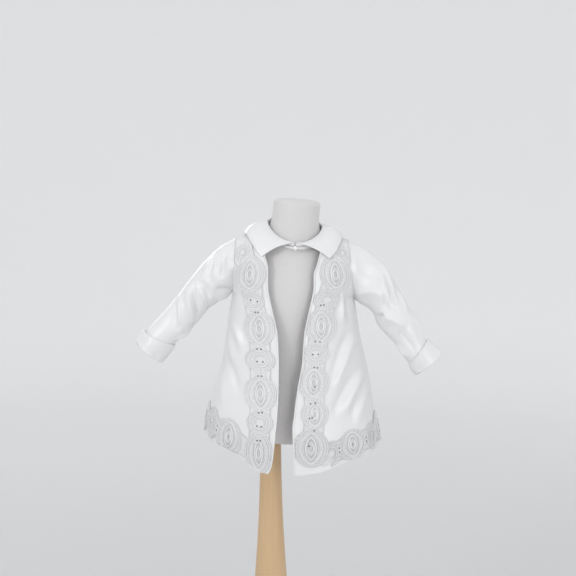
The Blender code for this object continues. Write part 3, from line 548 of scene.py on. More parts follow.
def shell(name, grid, wall, finish, closed=False, face=0):
    """Cloth with a round edge: the grid is its outer face, and the wall is inside it.

    The UV map "cloth" runs in metres across and along the cloth. A face of -1 or 1 keeps a panel on
    its own side of the seams at y = 0.
    """
    rows, columns = grid.shape[:2]
    normals = grid_normals(grid, closed)
    down, right = np.gradient(grid, axis=0), np.gradient(grid, axis=1)
    wide = np.concatenate((grid, grid[:, :1]), axis=1) if closed else grid
    cloth = np.stack((lengths_along(wide, 1), lengths_along(wide, 0)), axis=-1) * MM
    spans = columns if closed else columns - 1
    j, i = np.meshgrid(np.arange(rows - 1), np.arange(spans), indexing="ij")
    corners = [(j, i), (j, i + 1), (j + 1, i + 1), (j + 1, i)]
    quads = np.stack([a * columns + b % columns for a, b in corners], axis=-1).reshape(-1, 4)
    quad_cloth = np.stack([cloth[a, b] for a, b in corners], axis=2).reshape(-1, 4, 2)
    first = (np.zeros(spans + 1, int), np.arange(spans + 1))
    last = (np.full(spans + 1, rows - 1), np.arange(spans + 1)[::-1])
    loops = [first, last]
    outward = np.zeros_like(grid)
    outward[0] -= unit(down[0])
    outward[-1] += unit(down[-1])
    if not closed:
        up = np.arange(rows)
        ends = ((up, np.full(rows, columns - 1)), (up[::-1], np.zeros(rows, int)))
        ring = [np.concatenate([part[k][:-1] for part in (first, ends[0], last, ends[1])])
                for k in (0, 1)]
        loops = [tuple(np.append(part, part[0]) for part in ring)]
        outward[:, 0] -= unit(right[:, 0])
        outward[:, -1] += unit(right[:, -1])
    radius = wall / 2
    outward = unit(outward - normals * np.sum(normals * outward, axis=-1, keepdims=True))
    outer = grid - outward * radius
    inner = outer - normals * wall
    points = [outer.reshape(-1, 3), inner.reshape(-1, 3)]
    faces = [quads, quads[:, ::-1] + rows * columns]
    cloths = [quad_cloth, quad_cloth[:, ::-1]]
    count = 2 * rows * columns
    for a, b in loops:
        place = a * columns + b % columns
        edge = cloth[a, b]
        middle = (outer - normals * radius)[a, b % columns]
        rings = [place]
        for turn in np.linspace(0, pi, RIM_STEPS + 2)[1:-1]:
            ring = (middle + normals[a, b % columns] * radius * cos(turn)
                    + outward[a, b % columns] * radius * sin(turn))[:-1]
            points.append(ring)
            rings.append(np.append(np.arange(len(ring)), 0) + count)
            count += len(ring)
        rings.append(place + rows * columns)
        for low, high in zip(rings, rings[1:]):
            faces.append(np.stack((low[1:], low[:-1], high[:-1], high[1:]), axis=-1))
            cloths.append(np.stack((edge[1:], edge[:-1], edge[:-1], edge[1:]), axis=1))
    points, faces, cloths = [np.concatenate(part) for part in (points, faces, cloths)]
    if face:
        points[:, 1] = face * np.maximum(face * points[:, 1], SEAM_HALF_GAP)
    a, b, c = [points[quads[:, k]] for k in (0, 1, 2)]
    if np.sum(np.cross(b - a, c - a) * normals.reshape(-1, 3)[quads[:, 0]]) < 0:
        faces, cloths = faces[:, ::-1], cloths[:, ::-1]
    made = mesh_piece(name, points * MM, faces.tolist(), finish)
    made.data.uv_layers.new(name="cloth").data.foreach_set("uv", cloths.reshape(-1))
    return made


def placed(piece, slot, *nodes):
    """Fix a piece on the only body, in the place of any plain solids. The slot is not used."""
    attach(piece, "root")
    if nodes:
        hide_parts(*nodes)


SATIN_THREAD = 0.00045
SATIN_STEP = 0.2
RUMPLE_HEIGHT = 0.9
FLOAT_HEIGHT = 0.02
SATIN_SMOOTHEST = 0.26
SATIN_ROUGHER = 0.12
SATIN_COLOURS = ((0.77, 0.771, 0.776), (0.795, 0.796, 0.801))

satin = Finish("white_satin", {"Sheen Weight": 0.1, "Sheen Roughness": 0.4, "Specular IOR Level": 0.7})
cloth_place = satin.node("UVMap", {"uv_map": "cloth"})
twill = satin.axis(cloth_place, 0) + satin.axis(cloth_place, 1) * SATIN_STEP
floats = (twill * (2 * pi / SATIN_THREAD)).maths("SINE")
rumple = satin.noise(cloth_place, scale=45.0, detail=3.0)
satin.relief(rumple * RUMPLE_HEIGHT + floats * FLOAT_HEIGHT, depth=0.0012, strength=0.35)
satin.colour(satin.noise(cloth_place, scale=14.0), *SATIN_COLOURS)
satin.feed(satin.shader, {"Roughness": rumple * SATIN_ROUGHER + SATIN_SMOOTHEST})

front_grids = {side: front_grid(side) for side in SIDES}
for side, area in (("right", 0.0443), ("left", 0.0507)):
    front = shell("front_" + side, front_grids[side], SATIN_WALL, satin, face=-1)
    placed(front, "white_satin", "coat_front_" + side)

back_shares = np.linspace(0, 1, BACK_COLUMNS + 1)
back_grid = ease(body_point(1, *np.meshgrid(back_shares, body_levels())), BODY_EASE)
back = shell("back", back_grid, SATIN_WALL, satin, face=1)
placed(back, "white_satin", "coat_back")

# ==== Sleeves ====
# Long satin sleeves cut in one piece, with one seam underneath, set into the armholes. They hang
# forward and crumple at the elbow. Their ends go inside the turned-back cuffs.

# One row for each ring, from its top point to its underside point seen from the front, with the
# middle and half depth in y.
RING = "x_top z_top x_under z_under y_mid half_depth"
SLEEVES = for_sides(
    RING,
    right=[
        (-82, 763, -76, 680, -2, 35),
        (-108, 739, -90, 669, -5, 31),
        (-133, 709, -101, 662, -8, 28),
        (-156, 679, -119, 641, -12, 26),
        (-178, 654, -140, 620, -16, 24),
        (-197, 633, -153, 609, -19, 23),
        (-206, 621, -162, 601, -20, 22),
    ],
    left=[
        (149, 763, 146, 669, -2, 35),
        (172, 748, 160, 661, -5, 31),
        (191, 726, 170, 650, -8, 28),
        (208, 698, 174, 637, -12, 26),
        (225, 668, 186, 622, -16, 24),
        (241, 638, 204, 604, -19, 23),
        (253, 615, 218, 583, -20, 21),
        (259, 605, 226, 573, -20, 20.5),
    ],
)

# Creases are folds whose x is the share along the sleeve (0 armhole, 1 end) and whose z is the turn
# round it (0 underside, 90 front, 180 top, 270 back).
CREASES = for_sides(
    FOLD,
    right=[
        (0.06, 130, 0.03, 70, 0, 6, 1.8), (0.09, 130, 0.14, 80, 0, 5, -3.0),
        (0.15, 135, 0.24, 92, 0, 6, 2.2), (0.17, 152, 0.36, 116, 0, 5, 2.2),
        (0.20, 130, 0.30, 106, 0, 4, -2.0), (0.35, 118, 0.31, 58, 0, 5, -3.2),
        (0.37, 108, 0.43, 20, 0, 5, 3.2), (0.41, 132, 0.60, 32, 0, 5, -4.0),
        (0.45, 148, 0.67, 32, 0, 8, 4.0), (0.59, 168, 0.80, 58, 0, 6, -2.4),
        (0.53, 158, 0.76, 70, -2, 6, 2.0), (0.25, 70, 0.01, 30, 0, 5, -3.0),
        (0.26, 34, 0.02, 4, 0, 6, 2.6), (0.93, 38, 0.69, 4, 0, 5, 2.4),
        (0.18, 215, 0.36, 300, 0, 8, 2.8), (0.30, 225, 0.44, 330, 0, 5, -2.8),
        (0.36, 205, 0.53, 320, 0, 7, 3.2), (0.50, 215, 0.66, 325, 0, 7, 2.8),
        (0.68, 210, 0.80, 300, 0, 7, 2.2),
    ],
    left=[
        (0.26, 164, 0.54, 114, 0, 5, 3.0), (0.32, 142, 0.56, 103, 0, 5, -3.4),
        (0.48, 156, 0.66, 142, 0, 4, 1.8), (0.04, 42, 0.38, 88, -3, 6, 2.6),
        (0.06, 98, 0.32, 112, 0, 16, -2.6), (0.38, 78, 0.57, 100, 0, 9, -3.6),
        (0.37, 18, 0.50, 74, 0, 4, -3.4), (0.44, 58, 0.74, 102, 0, 8, 3.4),
        (0.70, 74, 0.97, 86, 0, 12, -2.4), (0.78, 18, 0.96, 40, 0, 6, 2.4),
        (0.68, 162, 0.96, 158, 0, 5, 2.0), (0.18, 300, 0.34, 215, 0, 8, 2.6),
        (0.30, 330, 0.46, 225, 0, 5, -2.8), (0.40, 325, 0.56, 215, 0, 7, 3.2),
        (0.56, 320, 0.70, 220, 0, 7, 2.6), (0.74, 310, 0.84, 215, 0, 7, 2.0),
    ],
)
SLEEVE_LENGTH = 177.0
SLEEVE_MM_PER_DEGREE = 0.5
SLEEVE_TUCK = 1.1
SLEEVE_SIDES = 136
SLEEVE_STEPS = 132


def armhole_point(side, angle):
    """Armhole seam; angle 0 is the armpit, 90 the front, 180 the shoulder, 270 the back."""
    front = body_point(-1, SEAM_ACROSS[side], 1 + angle / 90)
    back = body_point(1, SEAM_ACROSS[side], 1 + (360 - angle) / 90)
    return np.where((angle <= 180)[:, None], front, back)


def ring_point(ring, angle):
    share = (1 - np.cos(np.radians(angle))) / 2
    return points_of(mix(ring.x_under, ring.x_top, share),
                     ring.y_mid - ring.half_depth * np.sin(np.radians(angle)),
                     mix(ring.z_under, ring.z_top, share))


def tube_grid(stations, steps):
    """Rings on smooth curves through the stations, evenly spaced along the tube."""
    stations = np.array(stations)
    lengths = lengths_along(stations.mean(axis=1), 0)
    at = np.linspace(0, lengths[-1], steps + 1)
    flat = stations.reshape(len(stations), -1)
    rows = np.stack([curve(lengths, flat[:, k], at) for k in range(flat.shape[1])], axis=1)
    return rows.reshape(steps + 1, -1, 3)


around = turns_round(SLEEVE_SIDES, 360.0)
crease_scale = (SLEEVE_LENGTH, SLEEVE_MM_PER_DEGREE)
along, turn = np.meshgrid(np.linspace(0, SLEEVE_LENGTH, SLEEVE_STEPS + 1),
                          around * SLEEVE_MM_PER_DEGREE, indexing="ij")
for side, inward in (("right", 1), ("left", -1)):
    seam = armhole_point(side, around) + (inward * SLEEVE_TUCK, 0, 0)
    grid = tube_grid([seam] + [ring_point(ring, around) for ring in SLEEVES[side]], SLEEVE_STEPS)
    creased = fold_height(CREASES[side], along, turn, crease_scale)
    grid += grid_normals(grid, True) * creased[..., None]
    sleeve = shell("sleeve_piece_" + side, grid, SATIN_WALL, satin, closed=True)
    placed(sleeve, "white_satin", "sleeve_" + side)
    "front_" + side

# ==== Cuffs ====
# Deep double cuffs in satin, turned back over the ends of the sleeves and held by a row of running
# stitches near their upper edge.

# Rings from the free upper edge to the fold at the mouth.
CUFFS = for_sides(
    RING,
    right=[
        (-210, 627, -157, 602, -20, 27),
        (-216, 618, -166, 588, -21, 27),
        (-222, 608, -178, 573, -22, 27),
    ],
    left=[
        (258, 613, 226, 572, -20, 25.5),
        (270, 603, 230, 562, -21, 27),
        (282, 592, 237, 553, -22, 28.5),
    ],
)
CUFF_WALL = 2.0
CUFF_STEPS = 24
# The upper edge turns in towards the sleeve: share of the way to its middle, and how far down.
CUFF_TURN_IN = [(0.26, 2.6), (0.17, 0.7), (0.08, -0.4)]
CUFF_DENTS = table(
    "turn place height",
    (22, 0.2, 1.6), (62, 0.9, -2.0), (104, 0.35, 1.8), (140, 0.8, -1.8), (205, 0.4, 1.6),
    (262, 0.8, -1.6), (315, 0.4, 1.5),
)
CUFF_DENT_WIDTH = 17.0
CUFF_DENT_REACH = 0.45
CUFF_STITCH_ROW = 5
STITCH_PITCH = 3.0
STITCH_HALF = (1.05, 0.24, 0.16)
STITCH_AHEAD = 0.5


def growing_tree(name, inputs, nodes, links):
    """Geometry nodes with named inputs, own nodes and links, and one ending for every tree."""
    tree = bpy.data.node_groups.new(name, "GeometryNodeTree")
    tree.interface.new_socket("Mesh", in_out="OUTPUT", socket_type="NodeSocketGeometry")
    sockets = {key: tree.interface.new_socket(key, in_out="INPUT", socket_type="NodeSocket" + kind)
               for key, kind in {"Seed": "Geometry", **inputs, "Finish": "Material"}.items()}
    nodes = {"input": ("NodeGroupInput",), **nodes, "soften": ("GeometryNodeSetShadeSmooth",),
             "realize": ("GeometryNodeRealizeInstances",), "paint": ("GeometryNodeSetMaterial",),
             "output": ("NodeGroupOutput",)}
    made = {}
    for key, (kind, *values) in nodes.items():
        made[key] = tree.nodes.new(kind)
        settings, constants = (*values, {}, {})[:2]
        for setting, value in settings.items():
            setattr(made[key], setting, value)
        for socket, value in constants.items():
            made[key].inputs[socket].default_value = value
    ending = ["soften.Geometry > realize.Geometry", "realize.Geometry > paint.Geometry",
              "input.Finish > paint.Material", "paint.Geometry > output.Mesh"]
    for link in links + ending:
        (source, out), (target, into) = [end.split(".") for end in link.split(" > ")]
        tree.links.new(made[source].outputs[out], made[target].inputs[into])
    return tree, {key: socket.identifier for key, socket in sockets.items()}


def grown(name, seed, growth, settings):
    """Plain mesh piece that a geometry tree makes from a seed mesh."""
    tree, sockets = growth
    made = bpy.data.objects.new(name, seed)
    bpy.context.collection.objects.link(made)
    modifier = made.modifiers.new("grow", "NODES")
    modifier.node_group = tree
    for key, value in settings.items():
        modifier[sockets[key]] = value
    made.update_tag()
    bpy.context.view_layer.update()
    seen = made.evaluated_get(bpy.context.evaluated_depsgraph_get())
    mesh = bpy.data.meshes.new_from_object(seen)
    if mesh.materials[0] is None:
        mesh.materials.pop(index=0)
    bpy.data.objects.remove(made)
    piece = bpy.data.objects.new(name, mesh)
    bpy.context.collection.objects.link(piece)
    return piece


# A small round body on each point, turned to its normal and its way.
DOTS = growing_tree("dots", {"Half size": "Vector", "Roundness": "Int"}, {
    "up": ("GeometryNodeInputNamedAttribute", {"data_type": "FLOAT_VECTOR"}, {"Name": "dot_up"}),
    "along": ("GeometryNodeInputNamedAttribute", {"data_type": "FLOAT_VECTOR"}, {"Name": "dot_along"}),
    "turn": ("FunctionNodeAxesToRotation", {"primary_axis": "Z", "secondary_axis": "X"}),
    "ball": ("GeometryNodeMeshIcoSphere", {}, {"Radius": 1.0}),
    "place": ("GeometryNodeInstanceOnPoints",),
}, ["up.Attribute > turn.Primary Axis", "along.Attribute > turn.Secondary Axis",
    "input.Seed > place.Points", "input.Roundness > ball.Subdivisions", "ball.Mesh > place.Instance",
    "turn.Rotation > place.Rotation", "input.Half size > place.Scale",
    "place.Instances > soften.Geometry"])


def dot_piece(name, points, up, along, half_size, finish, roundness=1):
    """Small round bodies at points in millimetres."""
    mesh = bpy.data.meshes.new(name)
    mesh.from_pydata((np.asarray(points) * MM).tolist(), [], [])
    for key, value in (("dot_up", up), ("dot_along", along)):
        mesh.attributes.new(key, "FLOAT_VECTOR", "POINT").data.foreach_set(
            "vector", np.asarray(value, np.float32).reshape(-1))
    return grown(name, mesh, DOTS, {"Half size": [s * MM for s in half_size], "Roundness": roundness,
                                    "Finish": finish.material})


def stitch_row(name, path, up, finish):
    """Running stitches evenly along a path in millimetres, lying on the cloth."""
    lengths = lengths_along(path, 0)
    at = np.arange(STITCH_PITCH, lengths[-1] - STITCH_PITCH / 2, STITCH_PITCH)
    spots, ups, ahead = [np.stack([np.interp(place, lengths, values[:, k]) for k in range(3)], axis=1)
                         for place, values in ((at, path), (at, up), (at + STITCH_AHEAD, path))]
    made = dot_piece(name, spots + ups * STITCH_HALF[2], ups, unit(ahead - spots), STITCH_HALF, finish)
    placed(made, "white_satin")
    return made


thread = Finish("sewing_thread", {"Roughness": 0.5, "Sheen Weight": 0.2})
thread_twist = thread.noise(thread.place(), scale=3000.0)
thread.colour(thread_twist, (0.76, 0.76, 0.77), (0.88, 0.88, 0.89))
thread.relief(thread_twist, depth=0.0001, strength=0.5)

for side in SIDES:
    grid = tube_grid([ring_point(ring, around) for ring in CUFFS[side]], CUFF_STEPS)
    share = np.linspace(0, 1, CUFF_STEPS + 1)[:, None]
    dents = sum(dent.height * np.exp(-((around - dent.turn) / CUFF_DENT_WIDTH) ** 2
                                     - ((share - dent.place) / CUFF_DENT_REACH) ** 2)
                for dent in CUFF_DENTS)
    grid += grid_normals(grid, True) * dents[..., None]
    middle, mouth = grid[0].mean(axis=0), grid[-1].mean(axis=0)
    turned = [mix(grid[0], middle, inward) + unit(mouth - middle) * down for inward, down in CUFF_TURN_IN]
    grid = np.concatenate((turned, grid))
    cuff = shell("cuff_piece_" + side, grid, CUFF_WALL, satin, closed=True)
    placed(cuff, "white_satin", "cuff_" + side)
    row = np.append(np.arange(SLEEVE_SIDES), 0)
    seam = stitch_row("cuff_stitches_" + side, grid[CUFF_STITCH_ROW][row],
                      grid_normals(grid, True)[CUFF_STITCH_ROW][row], thread)
    "sleeve_piece_" + side

# ==== Neck band and collar ====
# A narrow satin band sewn round the neckline, and on it a flat round collar in double satin. The
# collar stands up a little from the band, folds over and lies on the shoulders.

# One row for each rib of a half collar, from the neck ring out to the free edge. angle is the place
# on the ring (0 centre front, 180 centre back); side_x is the free edge's distance from the neck's
# middle; over is how far over the shoulder it lies (0 front level, 90 shoulder seam, 180 back level).
COLLAR = for_sides(
    "angle side_x over",
    right=[
        (1.5, 51, 17),
        (22, 58, 25),
        (45, 68, 44),
        (90, 79, 90),
        (122, 72, 134),
        (150, 46, 150),
        (180, 0, 153),
    ],
    left=[
        (1.5, 52.5, 19),
        (22, 60, 28),
        (45, 68, 46),
        (90, 76, 90),
        (122, 70, 134),
        (150, 46, 150),
        (180, 0, 153),
    ],
)
COLLAR_BULGE = 5.2
COLLAR_BACK_BULGE = 6.8
COLLAR_LIFT = 5.2
COLLAR_CROWN_RISE = 0.6
COLLAR_CROWN_OUT = 2.0
COLLAR_WALL = 1.6
COLLAR_STEPS = 72
COLLAR_FALL_STEPS = 26
COLLAR_STAND_STEPS = 4
COLLAR_STITCH_RIBS = 2
BAND_SIDES = 180
BAND_STEPS = 8
BODY_PANELS = ["front_right", "front_left", "back"]

down = [STAND_HEIGHT + BAND_DEPTH, STAND_HEIGHT + BAND_DEPTH / 2, STAND_HEIGHT + BAND_GAP / 2]
out = [BAND_FLARE, mix(BAND_FLARE, STAND_FLARE, 0.5), STAND_FLARE]
band_turns = turns_round(BAND_SIDES, 360.0)
band_grid = tube_grid([neck_ring(band_turns, d, o) for d, o in zip(down, out)], BAND_STEPS)
band = shell("band", band_grid, SATIN_WALL, satin, closed=True)
placed(band, "white_satin", "neck_band")


def yoke_point(side, side_x, over):
    """Point on the shoulder or upper back above or below the seam, by its distance from the middle."""
    face = -1 if over <= 90 else 1
    level = 2 + (over if over <= 90 else 180 - over) / 90
    target = NECK_X - side_x if side == "right" else NECK_X + side_x
    reach = FRONT_EDGE_SHARE if face < 0 else 1.0
    shares = np.linspace(0, reach, SEARCH_STEPS)
    points = body_point(face, shares if side == "right" else 1 - shares, level)
    points = points[np.argsort(points[:, 0])]
    return np.array([np.interp(target, points[:, 0], points[:, k]) for k in range(3)])


def collar_rib(side, s):
    """A rib of the collar: down the stand's inside, over the fold and out to the free edge."""
    ribs = COLLAR[side]
    angle, side_x, over = [float(curve(range(len(ribs)), [rib[k] for rib in ribs], s * (len(ribs) - 1)))
                           for k in range(3)]
    edge = yoke_point(side, side_x, over)
    turn = angle if side == "right" else 360 - angle
    chest = np.array((NECK_X, 0.0, CHEST_Z))
    edge = edge + (edge - chest) / np.linalg.norm(edge - chest) * COLLAR_LIFT
    crown = neck_ring(turn, -COLLAR_CROWN_RISE, COLLAR_CROWN_OUT)
    bulge = mix(COLLAR_BULGE, COLLAR_BACK_BULGE, angle / 180)
    share = np.linspace(0, 1, COLLAR_FALL_STEPS + 1)[:, None]
    fall = mix(crown, edge, share)
    away = fall - chest
    fall = fall + away / np.linalg.norm(away, axis=1, keepdims=True) * bulge * np.sin(pi * share)
    inside = neck_ring(turn, STAND_HEIGHT - BAND_GAP / 2)
    stand = [mix(inside, neck_ring(turn), k / COLLAR_STAND_STEPS) for k in range(COLLAR_STAND_STEPS)]
    return np.concatenate((stand, [neck_ring(turn)], fall))


ribs = [collar_rib("right", k / COLLAR_STEPS) for k in range(COLLAR_STEPS + 1)]
ribs += [collar_rib("left", k / COLLAR_STEPS) for k in range(COLLAR_STEPS)][::-1]
collar_grid = np.array(ribs)
collar = shell("collar_piece", collar_grid, COLLAR_WALL, satin)
placed(collar, "white_satin", "collar")
row = COLLAR_STITCH_RIBS
seam = stitch_row("collar_stitches", collar_grid[row:-row, -1 - row],
                  grid_normals(collar_grid, False)[row:-row, -1 - row], thread)

# ==== Button ====
# One small domed pearl button with a shank, sewn on one end of the band at centre front. The thread
# loop on the other end goes round the shank, behind the button.

BUTTON_GAP = 2.9
BUTTON_SIDES = 48
# Distance out from the band's side of the button, and radius.
BUTTON_PROFILE = [(0.0, 0.9), (0.6, 2.9), (1.1, 3.5), (1.7, 3.6), (2.2, 3.3), (2.5, 2.9), (2.35, 2.3),
                  (2.4, 1.6), (2.65, 0.8), (2.7, 0.2)]


def stack_piece(name, rings, finish):
    """Closed body from rings of points in millimetres, its two ends closed by fans."""
    rows, sides = rings.shape[:2]
    points = np.concatenate((rings.reshape(-1, 3), [rings[0].mean(axis=0), rings[-1].mean(axis=0)]))
    faces = ring_faces(rows, sides) + fan_faces(0, sides, rows * sides)
    faces += fan_faces((rows - 1) * sides, sides, rows * sides + 1)
    made = mesh_piece(name, points * MM, faces, finish)
    work = bmesh.new()
    work.from_mesh(made.data)
    bmesh.ops.recalc_face_normals(work, faces=work.faces)
    work.to_mesh(made.data)
    work.free()
    return made


pearl = Finish("pearl_shell", {"Roughness": 0.18, "Coat Weight": 0.6, "Coat Roughness": 0.05})
pearl.colour(pearl.noise(pearl.place(), scale=700.0), (0.78, 0.76, 0.75), (0.90, 0.89, 0.88))

seat = neck_ring(0.0, STAND_HEIGHT + BAND_DEPTH / 2, BAND_FLARE / 2)
button_profile = [(BUTTON_GAP + out, radius) for out, radius in BUTTON_PROFILE]
button = stack_piece("button_piece", lathe_points(
    button_profile, BUTTON_SIDES, lambda a, x, z: (seat[0] + x, seat[1] - a, seat[2] + z)), pearl)
placed(button, "pearl", "neck_button")

# ==== Front lace ====
# Corded medallion lace sewn flat down both fronts: a fine net that carries round cords, loops and
# small beads, with worked eyelets in pairs. Its outer edge follows the medallions.

# One row for each medallion, top to bottom: its middle and its half sizes.
MEDALLION = "x y half_width half_height"
FRONT_LACE = for_sides(
    MEDALLION,
    right=[
        (-45, 767, 12, 15),
        (-33, 727, 25, 30),
        (-27, 681, 17, 17),
        (-18, 637, 25, 29),
        (-16.5, 586, 24, 19),
        (-16, 532, 26, 29),
        (-17, 485, 21, 19),
        (-19, 436, 22, 35),
    ],
    left=[
        (116, 766, 11, 13),
        (104, 729, 25, 29),
        (91, 684, 22, 17),
        (81, 641, 25, 29),
        (73.5, 597, 21, 18),
        (69, 550, 25, 27),
        (71, 499, 22, 23),
        (65, 444, 29, 31),
    ],
)
LACE_NECK = 16.5
LEVEL_Z = 600.0
NET_LIFT = 0.9
NET_WALL = 0.5
STRIP_COLUMNS = 22
STRIP_STEP = 1.6
SEAM_BORDER = 1.0
EDGE_BORDER = 3.2
TOP_BORDER = 1.2
FOOT_RISE = 0.4
TOP_ROWS_FROM = 735.0

# Cords of a medallion. share is how far in a ring lies: 0 the rim, 1 the outside of the heart, 2 the
# middle. grey says that it is worked in the silver grey thread, made darker still as painted shade.
BIG_FROM = 20.5
RING_CORD = "share radius rise grey"
BIG_RINGS = table(
    RING_CORD,
    (0.02, 0.45, 1.2, True), (0.075, 0.65, 1.3, False), (0.18, 0.32, 1.1, True),
    (0.41, 0.32, 1.1, True), (0.49, 0.65, 1.25, False), (0.58, 0.45, 1.2, False),
    (0.78, 0.32, 1.1, True), (0.93, 0.50, 1.2, True), (1.04, 0.50, 1.2, False),
    (1.16, 0.90, 1.5, False), (1.33, 0.95, 1.6, True), (1.50, 0.90, 1.6, False),
    (1.66, 0.70, 1.6, False), (1.86, 0.45, 1.7, True),
)
SMALL_RINGS = table(
    RING_CORD,
    (0.03, 0.42, 1.2, True), (0.12, 0.62, 1.3, False), (0.28, 0.32, 1.1, True),
    (0.66, 0.32, 1.1, True), (0.78, 0.55, 1.3, False), (1.05, 0.38, 1.2, True),
    (1.32, 0.32, 1.1, True),
)

# Bands of cords between the rings: short bars across, or one cord in scallops.
BAND_CORD = "kind low high per_mm radius rise grey"
BIG_BANDS = table(
    BAND_CORD,
    ("bars", 0.09, 0.17, 1.1, 0.30, 1.15, False), ("scallops", 0.21, 0.39, 0.45, 0.42, 1.2, False),
    ("bars", 0.59, 0.77, 0.55, 0.32, 1.15, False), ("scallops", 0.80, 0.90, 0.3, 0.32, 1.2, False),
)
SMALL_BANDS = table(
    BAND_CORD,
    ("bars", 0.14, 0.27, 1.0, 0.30, 1.15, False), ("scallops", 0.33, 0.63, 0.5, 0.42, 1.2, False),
)
BAR_POINTS = 3
SCALLOP_STEPS = 6
SCALLOP_ROUND = 0.7
# Values for big medallions (True) and small ones (False).
HEART_SIZE = {True: (0.32, 0.66), False: (0.45, 0.45)}
BEAD_SHARE = {True: 0.335, False: 0.48}
HEART_END = 0.05
HEART_POINT = 0.5
OVAL_STEPS = 720
BEADS_PER_MM = 0.5
BEAD_HALF = (0.65, 0.65, 0.5)
BEAD_RISE = 1.35
CROWN_LOOP = (4.2, 3.4)
CROWN_APART = 0.5
CROWN_STEPS = 14
CROWN_CORD = 0.6
CROWN_RISE = 1.7
EDGE_CORD = 0.5
EDGE_RISE = 1.3
EDGE_FROM_FOOT = 1
EDGE_FROM_TOP = 2
CORD_STEP = 2.5
LEAST_STEPS = 12
CORD_SIDES = 5

# Eyelets in the front lace: the middle and radius of each hole.
FRONT_EYELETS = for_sides(
    "x y radius",
    right=[
        (-31.5, 682.3, 1.4), (-21.0, 681.1, 1.4), (-24.2, 662.9, 1.5), (-19.8, 662.9, 1.5),
        (-21.2, 603.8, 1.4), (-14.8, 603.8, 1.4), (-21.3, 583.7, 1.4), (-12.1, 583.7, 1.4),
        (-19.7, 560.5, 1.4), (-14.2, 560.5, 1.4), (-18.8, 501.3, 1.5), (-13.3, 502.1, 1.5),
        (-21.6, 479.6, 1.4), (-14.6, 479.0, 1.4), (-21.4, 456.5, 1.5), (-16.4, 456.5, 1.5),
    ],
    left=[
        (80.4, 675.8, 1.5), (85.2, 675.8, 1.5), (71.3, 616.8, 1.4), (78.9, 615.8, 1.4),
        (67.7, 596.3, 1.5), (76.2, 596.3, 1.4), (69.8, 575.5, 1.4), (75.1, 574.5, 1.4),
        (71.0, 543.9, 1.4), (64.2, 516.6, 1.4), (71.6, 517.6, 1.4), (62.4, 492.9, 1.5),
        (66.8, 493.8, 1.5), (70.1, 473.0, 1.5), (62.0, 448.0, 1.8),
    ],
)
EYELET_CORD = 0.42
EYELET_RISE = 1.45
EYELET_CLEAR = 1.3
EYELET_STEPS = 12
# Painted shade: near-black discs sit in the eyelets, for the shadow inside their holes.
HOLE_SHADE_HALF = (1.7, 1.7, 0.3)
HOLE_SHADE_RISE = 1.25
HOLE_SHADE_ROUNDNESS = 2
LAST_CELL = 1.001
DRAPE_STEP = 1.0

Line = namedtuple("Line", "points radius rise closed grey")


class Drape:
    """A cloth surface as a map: two distances along the cloth and a height over it give a point."""

    def __init__(self, grid, first, second):
        layers = np.concatenate((grid, grid_normals(grid, False), second[..., None]), axis=2)
        if first[0, 0] > first[0, -1]:
            layers, first = layers[:, ::-1], first[:, ::-1]
        self.low = np.array((first.min(), second.min()))
        self.across = np.arange(first.min(), first.max() + DRAPE_STEP, DRAPE_STEP)
        up = np.arange(second.min(), second.max() + DRAPE_STEP, DRAPE_STEP)
        rows = np.array([[np.interp(self.across, at, values) for values in row.T]
                         for at, row in zip(first, layers)])
        cells = [[np.interp(up, line[:, -1], values) for values in line.T[:-1]]
                 for line in rows.transpose(2, 0, 1)]
        self.cells = np.array(cells).transpose(0, 2, 1)
        self.top = rows[-1, -1]

    def at(self, first, second, height):
        place = (np.stack(np.broadcast_arrays(first, second), axis=-1) - self.low) / DRAPE_STEP
        place = np.clip(place, 0, np.array(self.cells.shape[:2]) - LAST_CELL)
        whole = place.astype(int)
        part = place - whole
        a, b = whole[..., 0], whole[..., 1]
        s, t = part[..., :1], part[..., 1:]
        near = mix(self.cells[a, b], self.cells[a + 1, b], s)
        far = mix(self.cells[a, b + 1], self.cells[a + 1, b + 1], s)
        found = mix(near, far, t)
        return found[..., :3] + unit(found[..., 3:]) * np.asarray(height)[..., None]

    def end(self, first):
        """How far the cloth goes up at a place across it."""
        return np.interp(first, self.across, self.top)


def oval(a, b, count):
    """Evenly spaced turns round an oval."""
    turns = np.linspace(0, 2 * pi, OVAL_STEPS + 1)
    lengths = lengths_along(points_of(a * np.cos(turns), b * np.sin(turns)), 0)
    return np.interp(np.arange(count) * lengths[-1] / count, lengths, turns)


def is_big(m):
    return min(m.half_width, m.half_height) > BIG_FROM


def ring_size(m, share):
    return [half * np.interp(share, (0, 1, 2), (1, heart, HEART_END))
            for half, heart in zip((m.half_width, m.half_height), HEART_SIZE[is_big(m)])]


def ring_points(m, share, turns):
    """Points on a ring of a medallion, which is an oval at the rim and comes to a point further in."""
    wide, tall = ring_size(m, share)
    side = np.cos(turns)
    point = 1 + HEART_POINT * np.minimum(share, 1) * is_big(m)
    return points_of(m.x + wide * np.sign(side) * np.abs(side) ** point, m.y + tall * np.sin(turns))


def band_lines(m, band):
    """Short bars across a band of a medallion, or one cord in scallops round it."""
    wide, tall = ring_size(m, band.low)
    count = int(band.per_mm * (wide + tall))
    finish = (band.radius, band.rise, band.kind == "scallops", band.grey)
    if band.kind == "bars":
        shares = np.linspace(band.low, band.high, BAR_POINTS)
        return [Line(ring_points(m, shares, np.full(BAR_POINTS, turn)), *finish)
                for turn in oval(wide, tall, count)]
    steps = np.arange(count * SCALLOP_STEPS) / SCALLOP_STEPS
    turns = np.interp(steps, np.arange(count + 1), np.append(oval(wide, tall, count), 2 * pi))
    share = mix(band.high, band.low, np.abs(np.sin(pi * steps)) ** SCALLOP_ROUND)
    return [Line(ring_points(m, share, turns), *finish)]


